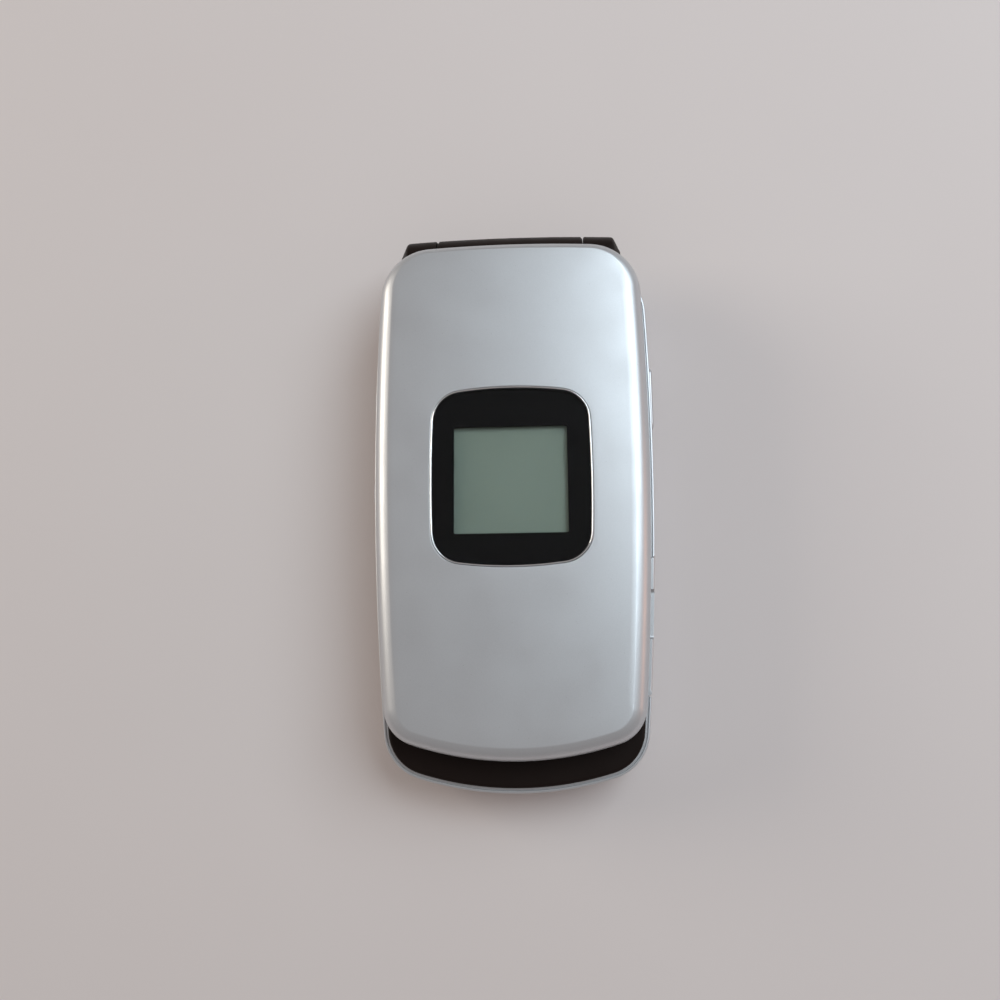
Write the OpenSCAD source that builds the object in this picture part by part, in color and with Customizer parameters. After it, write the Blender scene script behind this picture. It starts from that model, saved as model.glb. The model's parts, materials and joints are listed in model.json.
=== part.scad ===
// A clamshell phone, closed and lying on its back.
// X runs across it, Y from the chin to the hinge, Z from the back to the face of the lid.
// The origin is under the middle of the closed phone, on the surface that it lies on.

/* [Overall size] */
// Width of the base half
body_w = 48.5; // [45:0.5:58]
// Length of the closed phone, from the chin to the back of the hinge barrel
body_l = 96; // [90:0.5:116]
// Thickness of the base half, from its back to its rim
base_t = 11; // [10.6:0.1:13.4]
// Thickness of the lid half
lid_t = 7.3; // [7.2:0.1:9]
// Gap between the halves when the phone is shut
shut_gap = 0.3; // [0.25:0.05:0.5]

/* [Outline] */
// How much narrower than the base the lid is
lid_narrower = 2.3; // [1.2:0.1:2.8]
// How far the chin of the base reaches beyond the lid
chin_l = 5.5; // [4.5:0.25:7]
// Height above the middle of the phone where its sides are furthest apart
wide_y = 11.5; // [0:0.1:16]
// Radius of the long bow of the two sides
side_bow_r = 560; // [400:10:900]
// Radius of the bow of the chin
chin_bow_r = 55.6; // [50:0.2:80]
// Radius of the bow of the hinge end
top_bow_r = 268; // [150:2:500]
// Radius of the corners of the base
base_corner_r = 8.2; // [7:0.1:9]
// Radius of the lid's corners at the chin
lid_corner_r = 6.5; // [5:0.1:8]
// Radius of the lid's corners at the hinge end
lid_back_corner_r = 9; // [6:0.1:10]
// How far the lid reaches behind the hinge's axis
lid_back = 1.3; // [1:0.1:1.6]
// Width of the lid's rounded rim along its sides
rim_w = 2.7; // [2.6:0.1:3.4]
// Width of the lid's rounded rim at the chin
rim_chin_w = 2.4; // [2:0.1:3]

/* [Hinge] */
// Largest radius of the hinge barrel
barrel_r = 4.6; // [4.5:0.1:5.2]
// How much thinner the barrel gets from its middle to its ends
barrel_crown = 0.5; // [0:0.05:0.7]
// Half the length of the lid's knuckle, the middle part of the barrel
knuckle_x = 12.8; // [11:0.1:14]
// Half the length of the whole barrel
barrel_x = 19.5; // [18.5:0.1:20]
// Length of the chamfer at each end of the barrel
barrel_chamfer = 1.3; // [1:0.1:1.8]
// How much the radius shrinks along that chamfer
barrel_drop = 2.6; // [1.8:0.1:2.6]

/* [Lid window] */
// Width of the outer window
window_w = 26.6; // [22:0.1:30]
// Length of the outer window
window_l = 30; // [26:0.1:36]
// Height of the window's middle above the middle of the phone
window_y = 3.3; // [0:0.1:6]
// Radius of the window's corners
window_corner_r = 5; // [3:0.1:7]
// Width of the bright ring round the window
bezel_w = 0.3; // [0.2:0.05:0.6]

/* [Keys] */
// How far a key travels
key_travel = 0.4; // [0.2:0.05:0.4]
// Length of a number key
key_l = 7; // [6:0.1:7.2]
// Distance between the rows of number keys
key_pitch_y = 8.4; // [8.2:0.1:8.8]
// Distance between two number keys of a row
key_between = 1.3; // [1.2:0.05:1.6]
// Radius of the navigation ring
nav_r = 8.4; // [7.5:0.1:9]
// Radius of the key in the middle of the ring
ok_r = 3.9; // [3.4:0.1:4.4]
// Length of the side key
side_key_l = 11.3; // [9:0.1:13]
// Length of the volume rocker
rocker_l = 20.9; // [17:0.1:23]
// Length of each raised end of the rocker
bump_l = 4.6; // [3:0.1:6]
// How far the side key and the rocker's ends stand out
side_proud = 0.5; // [0.2:0.05:0.6]
// Length of the charging port's cover
port_l = 22.5; // [22:0.5:26]

/* [Walls and fits] */
// Thickness of the outer walls
wall = 1.3; // [1.2:0.05:1.4]
// Gap round every key
key_gap = 0.15; // [0.1:0.05:0.2]
// Gap between two parts that are fixed together
part_gap = 0.05; // [0.03:0.01:0.08]
// Gap round the barrel where the halves turn past each other
swing_gap = 0.3; // [0.25:0.05:0.4]
// Running clearance of the hinge's shaft and sleeve
run_gap = 0.05; // [0.03:0.01:0.08]

/* [Inside] */
// Thickness of the deck that the keys come through
deck_t = 0.8; // [0.7:0.05:0.9]
// Thickness of the keypad mat
mat_t = 0.6; // [0.5:0.05:0.7]
// Thickness of the main board
board_t = 1; // [0.8:0.05:1]
// Height of the shield cans
can_h = 0.7; // [0.6:0.05:0.8]
// Thickness of the battery cover
cover_t = 1.1; // [1:0.05:1.2]
// Thickness of the lid's inner frame
frame_t = 1.2; // [1.1:0.05:1.3]
// Thickness of the lid cover's skin
lid_skin = 1.2; // [1.1:0.05:1.3]
// Thickness of the inner display
panel_t = 2; // [1.6:0.1:2]
// Radius of a screw's shank
shank_r = 0.7; // [0.6:0.05:0.8]
// Radius of a screw's head
head_r = 1.4; // [1.2:0.05:1.4]
// Radius of a screw's boss
boss_r = 1.8; // [1.7:0.05:1.9]
// Radius of the loudspeaker
speaker_r = 6.5; // [5:0.1:7]
// Radius of the vibration motor
motor_r = 2.1; // [1.8:0.1:2.1]

/* [Hidden] */
$fn = 48;
NUMBER_KEYS = ["key_1", "key_2", "key_3", "key_4", "key_5", "key_6",
               "key_7", "key_8", "key_9", "key_star", "key_0", "key_hash"];

silver = [0.78, 0.79, 0.80];
dark = [0.13, 0.11, 0.10];
board_green = [0.10, 0.32, 0.20];
steel = [0.62, 0.63, 0.65];
rubber = [0.16, 0.16, 0.17];
amber = [0.72, 0.45, 0.16];

// Steps of an outline: along each end, round each corner and along each side.
end_steps = 4;
corner_steps = 5;
side_steps = 4;
thin = 0.01;
far = body_l;

// Places along the phone.
chin_y = -body_l / 2;
hinge_y = body_l / 2 - barrel_r;
hinge_z = base_t;
base_end_y = hinge_y - 0.5;
lid_end_y = hinge_y + lid_back;
face_end_y = hinge_y - 0.45;
lid_chin_y = chin_y + chin_l;
swing_r = barrel_r + swing_gap;
trough_y = hinge_y - swing_r;
bay_x = body_w / 2 - 7.5;

// Heights in the base, hung from its rim, and in its lower half built up from the back.
deck_z = base_t - 0.6;
deck_low = deck_z - deck_t;
lip_z = base_t - 1.1;
mat_z = deck_low - 0.1;
mat_low = mat_z - mat_t;
dome_h = 0.35;
dome_z = mat_low - dome_h;
board_z = dome_z - dome_h;
board_low = board_z - board_t;
bay_roof = board_low - can_h;
battery_z = bay_roof - 0.6;
cover_gap = 0.15;
cover_roof = cover_t + cover_gap;
battery_low = cover_roof + part_gap;

// Heights in the lid.
lid_low = base_t + shut_gap;
lid_z = lid_low + lid_t;
frame_z = lid_low + frame_t;
face_z = lid_z - 0.45;
window_low = lid_z - 1.5;
panel_z = frame_z + panel_t;
lcd_board_z = panel_z + 0.6;

// An outline is its width, the height where it is widest and the radius of its sides, and
// then for the chin end and the hinge end the height, the bow's radius and the corner's.
base_o = [body_w, wide_y, side_bow_r, chin_y, chin_bow_r, base_corner_r,
          base_end_y, top_bow_r, base_corner_r];
lid_o = [body_w - lid_narrower, wide_y, side_bow_r, lid_chin_y, chin_bow_r - 1.3, lid_corner_r,
         lid_end_y, top_bow_r, lid_back_corner_r];
face_o = [body_w - lid_narrower - 2 * rim_w, wide_y, side_bow_r - rim_w,
          lid_chin_y + rim_chin_w, chin_bow_r - 1.3 - rim_chin_w, lid_corner_r - rim_chin_w,
          face_end_y, top_bow_r - rim_w, lid_back_corner_r - rim_w];
window_side_r = 241;
window_end_r = 65;
window_o = [window_w, window_y, window_side_r, window_y - window_l / 2, window_end_r,
            window_corner_r, window_y + window_l / 2, window_end_r, window_corner_r];
// The lid's rim from its side up to its face: how far in, and how far below the face's middle.
RIM = [[0, 4.3], [0.2, 3], [0.78, 2], [1.7, 1.15]];

// The crossing of two circles that lies up, or with way = -1 down, from their centre line.
function crossing(a, ra, b, rb, way) =
    let(d = norm(b - a), u = (b - a) / d, k = (ra * ra - rb * rb + d * d) / (2 * d),
        h = sqrt(ra * ra - k * k))
    a + k * u + way * h * [-u[1], u[0]];
function bearing(v) = atan2(v[1], v[0]);
// The centres of an outline's corners at the chin end and at the hinge end.
function low_corner(o) =
    crossing([o[0] / 2 - o[2], o[1]], o[2] - o[5], [0, o[3] + o[4]], o[4] - o[5], -1);
function top_corner(o) =
    crossing([o[0] / 2 - o[2], o[1]], o[2] - o[8], [0, o[6] - o[7]], o[7] - o[8], 1);
// Points on an arc, without its last one.
function arc(c, r, from, to, steps) =
    [for (i = [0 : steps - 1]) let(t = from + (to - from) * i / steps) c + r * [cos(t), sin(t)]];
// The points of an outline, drawn in by inset.
function outline(o, inset = 0) =
    let(side = [o[0] / 2 - o[2], o[1]],
        low = [0, o[3] + o[4]],
        top = [0, o[6] - o[7]],
        low_c = low_corner(o),
        top_c = top_corner(o),
        half = concat(
            arc(low, o[4] - inset, -90, bearing(low_c - low), end_steps),
            arc(low_c, o[5] - inset, bearing(low_c - low), bearing(low_c - side), corner_steps),
            arc(side, o[2] - inset, bearing(low_c - side), bearing(top_c - side), side_steps),
            arc(top_c, o[8] - inset, bearing(top_c - side), bearing(top_c - top), corner_steps),
            arc(top, o[7] - inset, bearing(top_c - top), 90, end_steps)))
    concat(half, [[0, o[6] - inset]],
           [for (i = [len(half) - 1 : -1 : 1]) [-half[i][0], half[i][1]]]);
// A rectangle with round corners.
function rounded(w, l, r, steps = 3) =
    [for (q = [0 : 3])
        let(c = [(q == 0 || q == 3 ? 1 : -1) * (w / 2 - r), (q < 2 ? 1 : -1) * (l / 2 - r)])
        for (i = [0 : steps]) c + r * [cos(90 * (q + i / steps)), sin(90 * (q + i / steps))]];
// How far out the side of the base is at a height, drawn in by inset.
function side_x(y, inset = 0) =
    body_w / 2 - side_bow_r + sqrt(pow(side_bow_r - inset, 2) - pow(y - wide_y, 2));

// A screw in an outline's corner at the chin, its middle this far in from the outside.
function corner_screw(o, inset) =
    let(c = low_corner(o), d = o[5] - inset) [c[0] + d * cos(30), c[1] - d * sin(30)];
base_corner = corner_screw(base_o, wall + boss_r + 0.7);
lid_corner = corner_screw(lid_o, lid_skin + boss_r + 0.3);
// The battery bay and the lowest row of keys keep clear of the screws in the chin.
base_corner_top = base_corner[1] + boss_r;
bay_y = [max(chin_y + 11.8, base_corner_top + 1.6), hinge_y - 28.2];

module slab(o, inset, low, high)
    translate([0, 0, low]) linear_extrude(high - low) polygon(outline(o, inset));

module pill(w, l, r, low, high)
    translate([0, 0, low]) linear_extrude(high - low) polygon(rounded(w, l, r));

module pill_at(p, w, l, r, low, high) translate([p[0], p[1], 0]) pill(w, l, r, low, high);

module block(x0, x1, y0, y1, z0, z1)
    translate([x0, y0, z0]) cube([x1 - x0, y1 - y0, z1 - z0]);

module post(p, r, low, high)
    translate([p[0], p[1], low]) cylinder(r = r, h = high - low);

module both_sides() {
    children();
    mirror([1, 0, 0]) children();
}

// A round bar on the hinge's axis, and a turned part of the barrel given by its half section.
module bar(x0, x1, r)
    translate([x0, hinge_y, hinge_z]) rotate([0, 90, 0]) cylinder(r = r, h = x1 - x0);
module turned(section)
    translate([0, hinge_y, hinge_z]) rotate([0, 90, 0]) rotate_extrude() polygon(section);

// The barrel's radius at a place along it.
function barrel_at(x) = barrel_r - barrel_crown * pow(x / barrel_x, 2);

/* ---- Keys ---- */

pad_margin = 5.1;
key_pitch_x = (body_w - 2 * pad_margin) / 3;
key_w = key_pitch_x - key_between;
key_row_y = max(chin_y + 14, base_corner_top + key_l / 2 + 1);
nav_y = key_row_y + 3 * key_pitch_y + 22.7;
call_key_w = 8.6;
call_key_l = 6.6;
call_key_x = body_w / 2 - 8.8;
clear_key_l = 5.2;
key_low = dome_z + key_travel + 0.05;
flange_w = 0.3;
flange_z = mat_z;

// Place, width and length of every key of the pad that isn't round, in the order of NODES.
KEYS = concat(
    [for (row = [3 : -1 : 0]) for (col = [-1 : 1])
        [col * key_pitch_x, key_row_y + row * key_pitch_y, key_w, key_l]],
    [for (up = [5.6, -4.6]) for (s = [-1, 1]) [s * call_key_x, nav_y + up, call_key_w, call_key_l]],
    [[0, nav_y - nav_r - 4.2, key_w, clear_key_l]]);
key_corner = 1.8;

module key(i) color(silver) {
    k = KEYS[i];
    pill_at(k, k[2], k[3], key_corner, flange_z, base_t - 0.1);
    pill_at(k, k[2] + 2 * flange_w, k[3] + 2 * flange_w, key_corner, key_low, flange_z);
}

// The room that every key needs in the deck, and with grow = flange_w in the mat below it.
module key_rooms(grow, low, high) {
    for (k = KEYS)
        pill_at(k, k[2] + 2 * (grow + key_gap), k[3] + 2 * (grow + key_gap), key_corner, low, high);
    post([0, nav_y], nav_r + grow + key_gap, low, high);
}

module nav_ring() color(silver) difference() {
    union() {
        post([0, nav_y], nav_r, flange_z, base_t - 0.1);
        post([0, nav_y], nav_r + flange_w, key_low, flange_z);
    }
    post([0, nav_y], ok_r + key_gap, key_low - 1, base_t);
}

module ok_key() color(silver) post([0, nav_y], ok_r, key_low, base_t - 0.15);

/* ---- Side keys ---- */

side_low = base_t - 5.6;
side_high = side_low + 2.8;
side_key_mid = hinge_y - 24.55;
side_key_y = [side_key_mid - side_key_l / 2, side_key_mid + side_key_l / 2];
rocker_mid = hinge_y - 32.35;
rocker_y = [rocker_mid - rocker_l / 2, rocker_mid + rocker_l / 2];
rocker_pivot = [-side_x(rocker_mid, wall), rocker_mid];

module side_key() color(silver) {
    block(side_x(wide_y, wall + 0.5), body_w / 2 + side_proud,
          side_key_y[0], side_key_y[1], side_low, side_high);
    block(side_x(wide_y, wall + 0.8), side_x(wide_y, wall + 0.35),
          side_key_y[0] - 0.4, side_key_y[1] + 0.4, side_low - 0.4, side_high + 0.4);
}

module volume_rocker() color(silver) {
    block(-side_x(wide_y, 0.1), -side_x(wide_y, wall + 0.2),
          rocker_y[0], rocker_y[1], side_low, side_high);
    block(-body_w / 2 - side_proud, -side_x(wide_y, 0.2),
          rocker_y[0], rocker_y[0] + bump_l, side_low, side_high);
    block(-body_w / 2 - side_proud, -side_x(wide_y, 0.2),
          rocker_y[1] - bump_l, rocker_y[1], side_low, side_high);
    block(-side_x(wide_y, wall + 0.15), -side_x(wide_y, wall + 0.65),
          rocker_mid - 2.5, rocker_mid + 2.5, side_low - 0.4, side_high + 0.4);
    post(rocker_pivot, 0.4, side_low - 0.4, side_high + 0.4);
}

// The openings in the base's side walls, and the room behind them.
module side_key_rooms() {
    block(side_x(wide_y, wall + 1.3), body_w, side_key_y[0] - key_gap, side_key_y[1] + key_gap,
          side_low - key_gap, side_high + key_gap);
    block(side_x(wide_y, wall + 1.35), side_x(wide_y, wall + 0.2),
          side_key_y[0] - 0.6, side_key_y[1] + 0.6, side_low - 0.6, side_high + 0.6);
    block(-body_w, -side_x(wide_y, wall + 1.2), rocker_y[0] - 0.2, rocker_y[1] + 0.2,
          side_low - key_gap, side_high + key_gap);
    block(-side_x(wide_y, wall - 0.45), -side_x(wide_y, wall + 1.35),
          rocker_mid - 2.9, rocker_mid + 2.9, side_low - 0.6, side_high + 0.6);
}

/* ---- Charging port ---- */

port_y = [chin_y + 16, chin_y + 16 + port_l];
port_low = 3.4;
port_t = 1;
port_pivot_in = 0.52;
port_pivot = [side_x(port_y[0], port_pivot_in), port_y[0]];
socket_y = [port_y[0] + 3.6, port_y[0] + 17.6];
socket_x = bay_x + 0.8;
socket_low = board_low - 3.2;

module port_cover() color(silver) {
    difference() {
        intersection() {
            slab(base_o, 0.02, port_low, lip_z - 0.05);
            block(0, body_w, port_y[0], port_y[1] - 0.1, 0, base_t);
        }
        slab(base_o, port_t, 0, base_t);
        block(0, body_w, port_y[0] + 8.7, port_y[1] - 5.5, lip_z - 0.7, base_t);
    }
    post(port_pivot, port_pivot_in - 0.04, port_low, lip_z - 0.05);
}

module port_recess() {
    difference() {
        block(0, body_w, port_y[0], port_y[1], port_low - 0.1, base_t);
        slab(base_o, port_t + 0.05, 0, base_t);
    }
    post(port_pivot, port_pivot_in + 0.06, port_low - 0.1, base_t);
    block(port_pivot[0], body_w, port_y[0] - 0.7, port_y[0] + 0.1, port_low - 0.1, base_t);
}

module charge_connector() color(steel) difference() {
    block(socket_x, side_x(port_y[0], port_t + 0.3), socket_y[0], socket_y[1],
          socket_low, board_low);
    block(socket_x + 0.8, body_w, socket_y[0] + 0.8, socket_y[1] - 0.8,
          socket_low + 0.6, board_low - 0.6);
}

/* ---- Screws ---- */

screw_y = hinge_y - 10.4;
base_screws_at = [for (s = [-1, 1]) [s * (body_w / 2 - 5.3), screw_y],
                  for (s = [-1, 1]) [s * base_corner[0], base_corner[1]]];
lid_screws_at = [for (s = [-1, 1]) [s * (body_w / 2 - 5.7), screw_y],
                 for (s = [-1, 1]) [s * lid_corner[0], lid_corner[1]]];
base_head_low = cover_roof + 0.35;
lid_head_low = lid_low + 0.5;

module base_screws() color(steel) for (p = base_screws_at) {
    post(p, head_r, base_head_low, base_head_low + 0.8);
    post(p, shank_r, base_head_low + 0.4, base_head_low + 6);
}

module base_screw_plugs() color(rubber) for (p = [base_screws_at[0], base_screws_at[1]])
    post(p, head_r + 0.1, 0.1, base_head_low - 0.1);

module lid_screws() color(steel) for (p = lid_screws_at) {
    post(p, head_r, lid_head_low, frame_z);
    post(p, shank_r, lid_head_low + 0.2, lid_z - 2.4);
}

module lid_screw_plugs() color(rubber) for (p = lid_screws_at)
    post(p, head_r + 0.1, lid_low + 0.05, lid_head_low - part_gap);

/* ---- Base: housings ---- */

cavity_end_y = trough_y - 1.7;
block_y = cavity_end_y - 0.05;
ear_x = knuckle_x + 0.2;
chamfer_x = barrel_x - barrel_chamfer;
shaft_r = 1.6;
sleeve_r = 2.95;
sleeve_in = 2.3;
cartridge_r = 2.9;
ribbon_z = hinge_z - 1.7;
ribbon_x = [-ear_x - 3.4, -ear_x - 0.4];
mic_y = chin_y + 6.4;

module ear() turned([[0, ear_x], [barrel_at(ear_x), ear_x], [barrel_at(chamfer_x), chamfer_x],
                     [barrel_at(chamfer_x) - barrel_drop, barrel_x], [0, barrel_x]]);

module front_housing() color(dark) difference() {
    union() {
        difference() {
            union() {
                slab(base_o, 0.9, lip_z, base_t);
                intersection() {
                    slab(base_o, wall + part_gap, deck_low, lip_z);
                    block(-body_w, body_w, chin_y, block_y, 0, base_t);
                }
                difference() {
                    slab(base_o, wall + part_gap, deck_low - 1, deck_low);
                    slab(base_o, wall + 0.8, 0, base_t);
                    block(-body_w, body_w, block_y, far, 0, base_t);
                    block(0, body_w, port_y[0] - 3, port_y[1] + 3, 0, base_t);
                }
            }
            bar(-ear_x, ear_x, swing_r + 0.1);
            block(-ear_x, ear_x, hinge_y - 3, far, 0, far);
        }
        both_sides() {
            ear();
            intersection() {
                slab(base_o, 0.1, base_t - 4.1, base_t);
                block(ear_x, barrel_x - 0.1, block_y, hinge_y - 0.8, 0, far);
            }
        }
        for (p = base_screws_at) post(p, boss_r, base_head_low + 1.5, deck_low + 0.2);
    }
    intersection() {
        slab(base_o, 3, deck_z, far);
        block(-body_w, body_w, key_row_y - key_l / 2 - 1.5, nav_y + nav_r + 3, 0, far);
    }
    key_rooms(0, 0, far);
    post([0, mic_y], 0.6, 0, far);
    for (p = base_screws_at) post(p, shank_r, 0, base_head_low + 6.1);
    bar(ear_x - 1, chamfer_x + 0.3, shaft_r);
    bar(-chamfer_x, -ear_x + 1, sleeve_r);
    block(ribbon_x[0] - 0.1, ribbon_x[1] + 0.1, block_y - 1, hinge_y, ribbon_z - 0.1, ribbon_z + 0.4);
}

// The outside of the base, rounded towards the back.
module base_form() hull() {
    slab(base_o, 3, 0, thin);
    slab(base_o, 1, 1.2, 1.2 + thin);
    slab(base_o, 0.25, 2.6, 2.6 + thin);
    slab(base_o, 0, 4, lip_z);
}

slot_x = body_w / 2 - 4.5;
tongue = 0.8;
cover_y = bay_y[1] + 1.4;
speaker_y = hinge_y - 18.8;
lower_y = [cover_y + 1.2, base_end_y - 1.5];

module rear_housing() color(silver) difference() {
    union() {
        difference() {
            base_form();
            // The room above the battery bay, and the lower room at the hinge end.
            intersection() {
                slab(base_o, wall, bay_roof, base_t);
                block(-body_w, body_w, chin_y, cavity_end_y, 0, base_t);
            }
            intersection() {
                slab(base_o, wall + 0.7, cover_roof, base_t);
                union() {
                    block(-body_w, body_w, lower_y[0], lower_y[1], 0, hinge_z - swing_r - 1.2);
                    block(-body_w, body_w, lower_y[0], cavity_end_y, 0, base_t);
                }
            }
            intersection() {
                slab(base_o, wall + 0.4, cover_roof + 0.8, base_t);
                block(-body_w, body_w, chin_y, bay_y[0] - 1.2, 0, base_t);
            }
        }
        for (p = base_screws_at) post(p, boss_r + 0.3, cover_roof, base_head_low + 1.45);
        // The wall is thicker behind the recess of the port's cover.
        difference() {
            intersection() {
                slab(base_o, wall - 0.1, cover_t, deck_low - 0.02);
                block(0, body_w, port_y[0] - 2, port_y[1] + 2, 0, base_t);
            }
            slab(base_o, port_t + 0.9, 0, base_t);
        }
    }
    // The battery bay, and the way in for its cover.
    block(-bay_x, bay_x, bay_y[0], bay_y[1], -1, battery_z + 0.02);
    block(-slot_x - cover_gap, slot_x + cover_gap, -far, cover_y + cover_gap, -1, cover_roof);
    block(-slot_x - tongue - cover_gap, slot_x + tongue + cover_gap, -far, cover_y - 6,
          cover_t - 0.6, cover_roof);
    // The hinge: the trough under the knuckle and the seats of the ears.
    bar(-ear_x - 0.1, ear_x + 0.1, swing_r + 0.1);
    both_sides() {
        block(ear_x - 0.1, barrel_x + 0.1, cavity_end_y - 0.5, far, base_t - 4.15, far);
        bar(ear_x - 0.1, barrel_x + 0.1, barrel_r + 0.05);
    }
    for (p = base_screws_at) {
        post(p, head_r + 0.1, -1, base_head_low + 0.8);
        post(p, shank_r + 0.1, 0, base_head_low + 2);
    }
    for (i = [-2 : 2]) block(i * 1.8 - 0.45, i * 1.8 + 0.45, speaker_y - 3.6, speaker_y + 3.6, -1, 2);
    side_key_rooms();
    port_recess();
    block(socket_x - 0.1, side_x(port_y[0], port_t + 0.25), socket_y[0] - 0.1, socket_y[1] + 0.1,
          socket_low - 0.1, base_t);
    block(socket_x, body_w, socket_y[0] + 0.8, socket_y[1] - 0.8, socket_low + 0.6, board_low - 0.6);
    block(-5.1, 5.1, bay_y[1] - 1, lower_y[0] + 1, battery_low + 0.5, battery_z - 0.3);
}

module battery_cover() color(silver) {
    intersection() {
        base_form();
        union() {
            block(-slot_x, slot_x, -far, cover_y, 0, cover_t);
            block(-slot_x - tongue, slot_x + tongue, -far, cover_y - 6.2, cover_t - 0.45, cover_t);
        }
    }
}

module battery_pack() color(rubber)
    block(-bay_x + 0.2, bay_x - 0.2, bay_y[0] + 0.2, bay_y[1] - 0.2, battery_low, battery_z);

module battery_contacts() color(amber) {
    block(-5, 5, bay_y[1] + 0.1, lower_y[0], battery_low + 0.6, battery_z - 0.4);
    for (i = [-1.5 : 1.5])
        block(i * 2.2 - 0.4, i * 2.2 + 0.4, bay_y[1] - 0.2, bay_y[1] + 0.2,
              battery_low + 1.4, battery_z - 1.2);
}

/* ---- Base: inside ---- */

mat_y = [key_row_y - key_l / 2 - 1.5, nav_y + nav_r + 2.4];

// The corners that flat parts leave free for the bosses of the screws.
module boss_corners(gap) both_sides() {
    block(base_screws_at[1][0] - boss_r - gap, body_w, screw_y - boss_r - gap, far, 0, far);
    block(base_corner[0] - boss_r - gap, body_w, -far, base_corner[1] + boss_r + gap, 0, far);
}

module pad_sheet(low, high) difference() {
    intersection() {
        slab(base_o, wall + 1.5, low, high);
        block(-body_w, body_w, mat_y[0], mat_y[1], 0, far);
    }
    boss_corners(0.2);
}

module keypad_mat() color([0.75, 0.76, 0.74]) difference() {
    pad_sheet(mat_low, mat_z);
    key_rooms(flange_w, 0, far);
}

module dome_sheet() color([0.85, 0.85, 0.88]) {
    pad_sheet(board_z, board_z + 0.2);
    for (k = KEYS) post([k[0], k[1]], 2, board_z + 0.1, dome_z);
    for (t = [0 : 90 : 270]) post([0, nav_y] + 6.4 * [cos(t), sin(t)], 1.4, board_z + 0.1, dome_z);
    post([0, nav_y], 2, board_z + 0.1, dome_z);
}

module main_board() color(board_green) {
    difference() {
        intersection() {
            slab(base_o, 3.2, board_low, board_z);
            block(-body_w, body_w, chin_y + 4, cavity_end_y - 1, 0, far);
        }
        boss_corners(0.5);
    }
    block(ribbon_x[0], ribbon_x[1], mat_y[1] + 1, mat_y[1] + 4, board_z, ribbon_z);
    block(side_x(wide_y, 4), side_x(wide_y, wall + 1.4), side_key_y[0] + 4, side_key_y[1] - 4,
          board_z - 1, board_z - 0.1);
    for (y = [rocker_y[0] + 1, rocker_y[1] - 4])
        block(-side_x(wide_y, wall + 1.4), -side_x(wide_y, 4), y, y + 3, board_z - 1, board_z - 0.1);
}

module shield_cans() color(steel) {
    block(-bay_x + 3, -0.5, bay_y[0] + 4, bay_y[0] + 26, bay_roof, board_low);
    block(0.5, bay_x - 3, bay_y[0] + 4, bay_y[0] + 20, bay_roof, board_low);
    block(-bay_x + 4, bay_x - 4, bay_y[0] + 29, bay_y[1] - 4, bay_roof, board_low);
}

module loudspeaker() color(dark) {
    post([0, speaker_y], speaker_r, cover_roof, cover_roof + 3.2);
    post([0, speaker_y], 2.4, cover_roof + 3, board_low);
}

module microphone() color(rubber) difference() {
    post([0, mic_y], 2, board_z, deck_low);
    post([0, mic_y], 0.6, board_z + 0.6, far);
}

motor_x = -(body_w / 2 - 8.6);
motor_z = (cover_roof + bay_roof) / 2 + 0.2;
motor_y = [lower_y[0] + 1, lower_y[0] + 9];

module along_y(x, z, y0, y1, r)
    translate([x, y1, z]) rotate([90, 0, 0]) cylinder(r = r, h = y1 - y0);

module vibration_motor() color(steel) {
    difference() {
        union() {
            along_y(motor_x, motor_z, motor_y[0], motor_y[1], motor_r);
            block(motor_x - motor_r, motor_x + motor_r, motor_y[0], motor_y[1],
                  cover_roof, motor_z);
        }
        along_y(motor_x, motor_z, motor_y[1] - 3, motor_y[1] + 1, 0.4 + run_gap);
    }
}

// The eccentric weight and the shaft that it turns with.
module motor_weight() color(amber) {
    along_y(motor_x, motor_z, motor_y[1] - 2.5, motor_y[1] + 2.8, 0.4);
    intersection() {
        along_y(motor_x, motor_z, motor_y[1] + 0.3, motor_y[1] + 2.8, motor_r - 0.2);
        block(motor_x - motor_r, motor_x + motor_r, 0, far, motor_z - motor_r, motor_z + 0.3);
    }
}

module antenna() color([0.55, 0.50, 0.42]) {
    block(-knuckle_x + 1, knuckle_x - 1, speaker_y + speaker_r + 1, base_end_y - wall - 1.3,
          cover_roof, hinge_z - swing_r - 1.25);
    block(knuckle_x - 4, knuckle_x - 1, speaker_y + speaker_r + 1, speaker_y + speaker_r + 3,
          cover_roof, board_low);
}

/* ---- Lid ---- */

// The outside of the lid, or with inset the room inside it.
module lid_form(inset) hull() {
    slab(lid_o, inset, lid_low, lid_low + thin);
    for (r = RIM) slab(lid_o, r[0] + inset, lid_z - r[1] - inset - thin, lid_z - r[1] - inset);
    slab(face_o, inset, face_z - inset - thin, face_z - inset);
    slab(window_o, -2, lid_z - 0.1 - inset - thin, lid_z - 0.1 - inset);
}

module lid_cover() color(silver) difference() {
    union() {
        difference() {
            lid_form(0);
            lid_form(lid_skin);
            block(-body_w, body_w, -far, far, 0, frame_z);
        }
        intersection() {
            lid_form(0.5);
            for (p = lid_screws_at) post(p, boss_r, frame_z + 0.9, far);
        }
        intersection() {
            lid_form(0.5);
            difference() {
                slab(window_o, -bezel_w - 1.2, window_low - 0.4, lid_z);
                slab(window_o, -bezel_w, 0, far);
            }
        }
    }
    bar(-body_w, body_w, swing_r);
    slab(window_o, -bezel_w - part_gap, window_low, far);
    slab(window_o, 0.8, 0, far);
    for (p = lid_screws_at) post(p, shank_r, 0, lid_z - 2.3);
}

panel_y = [lid_chin_y + 13.5, hinge_y - 22.4];
panel_x = body_w / 2 - 6.8;
view_in = 1.8;
glass_x = body_w / 2 - 6.1;
ear_y = lid_chin_y + 6.6;
flex_x = [-6.2, -2.6];
lid_ribbon_z = hinge_z + 1.4;
pad_x = body_w / 2 - 9.2;
pad_y = lid_chin_y + 3.4;

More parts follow.
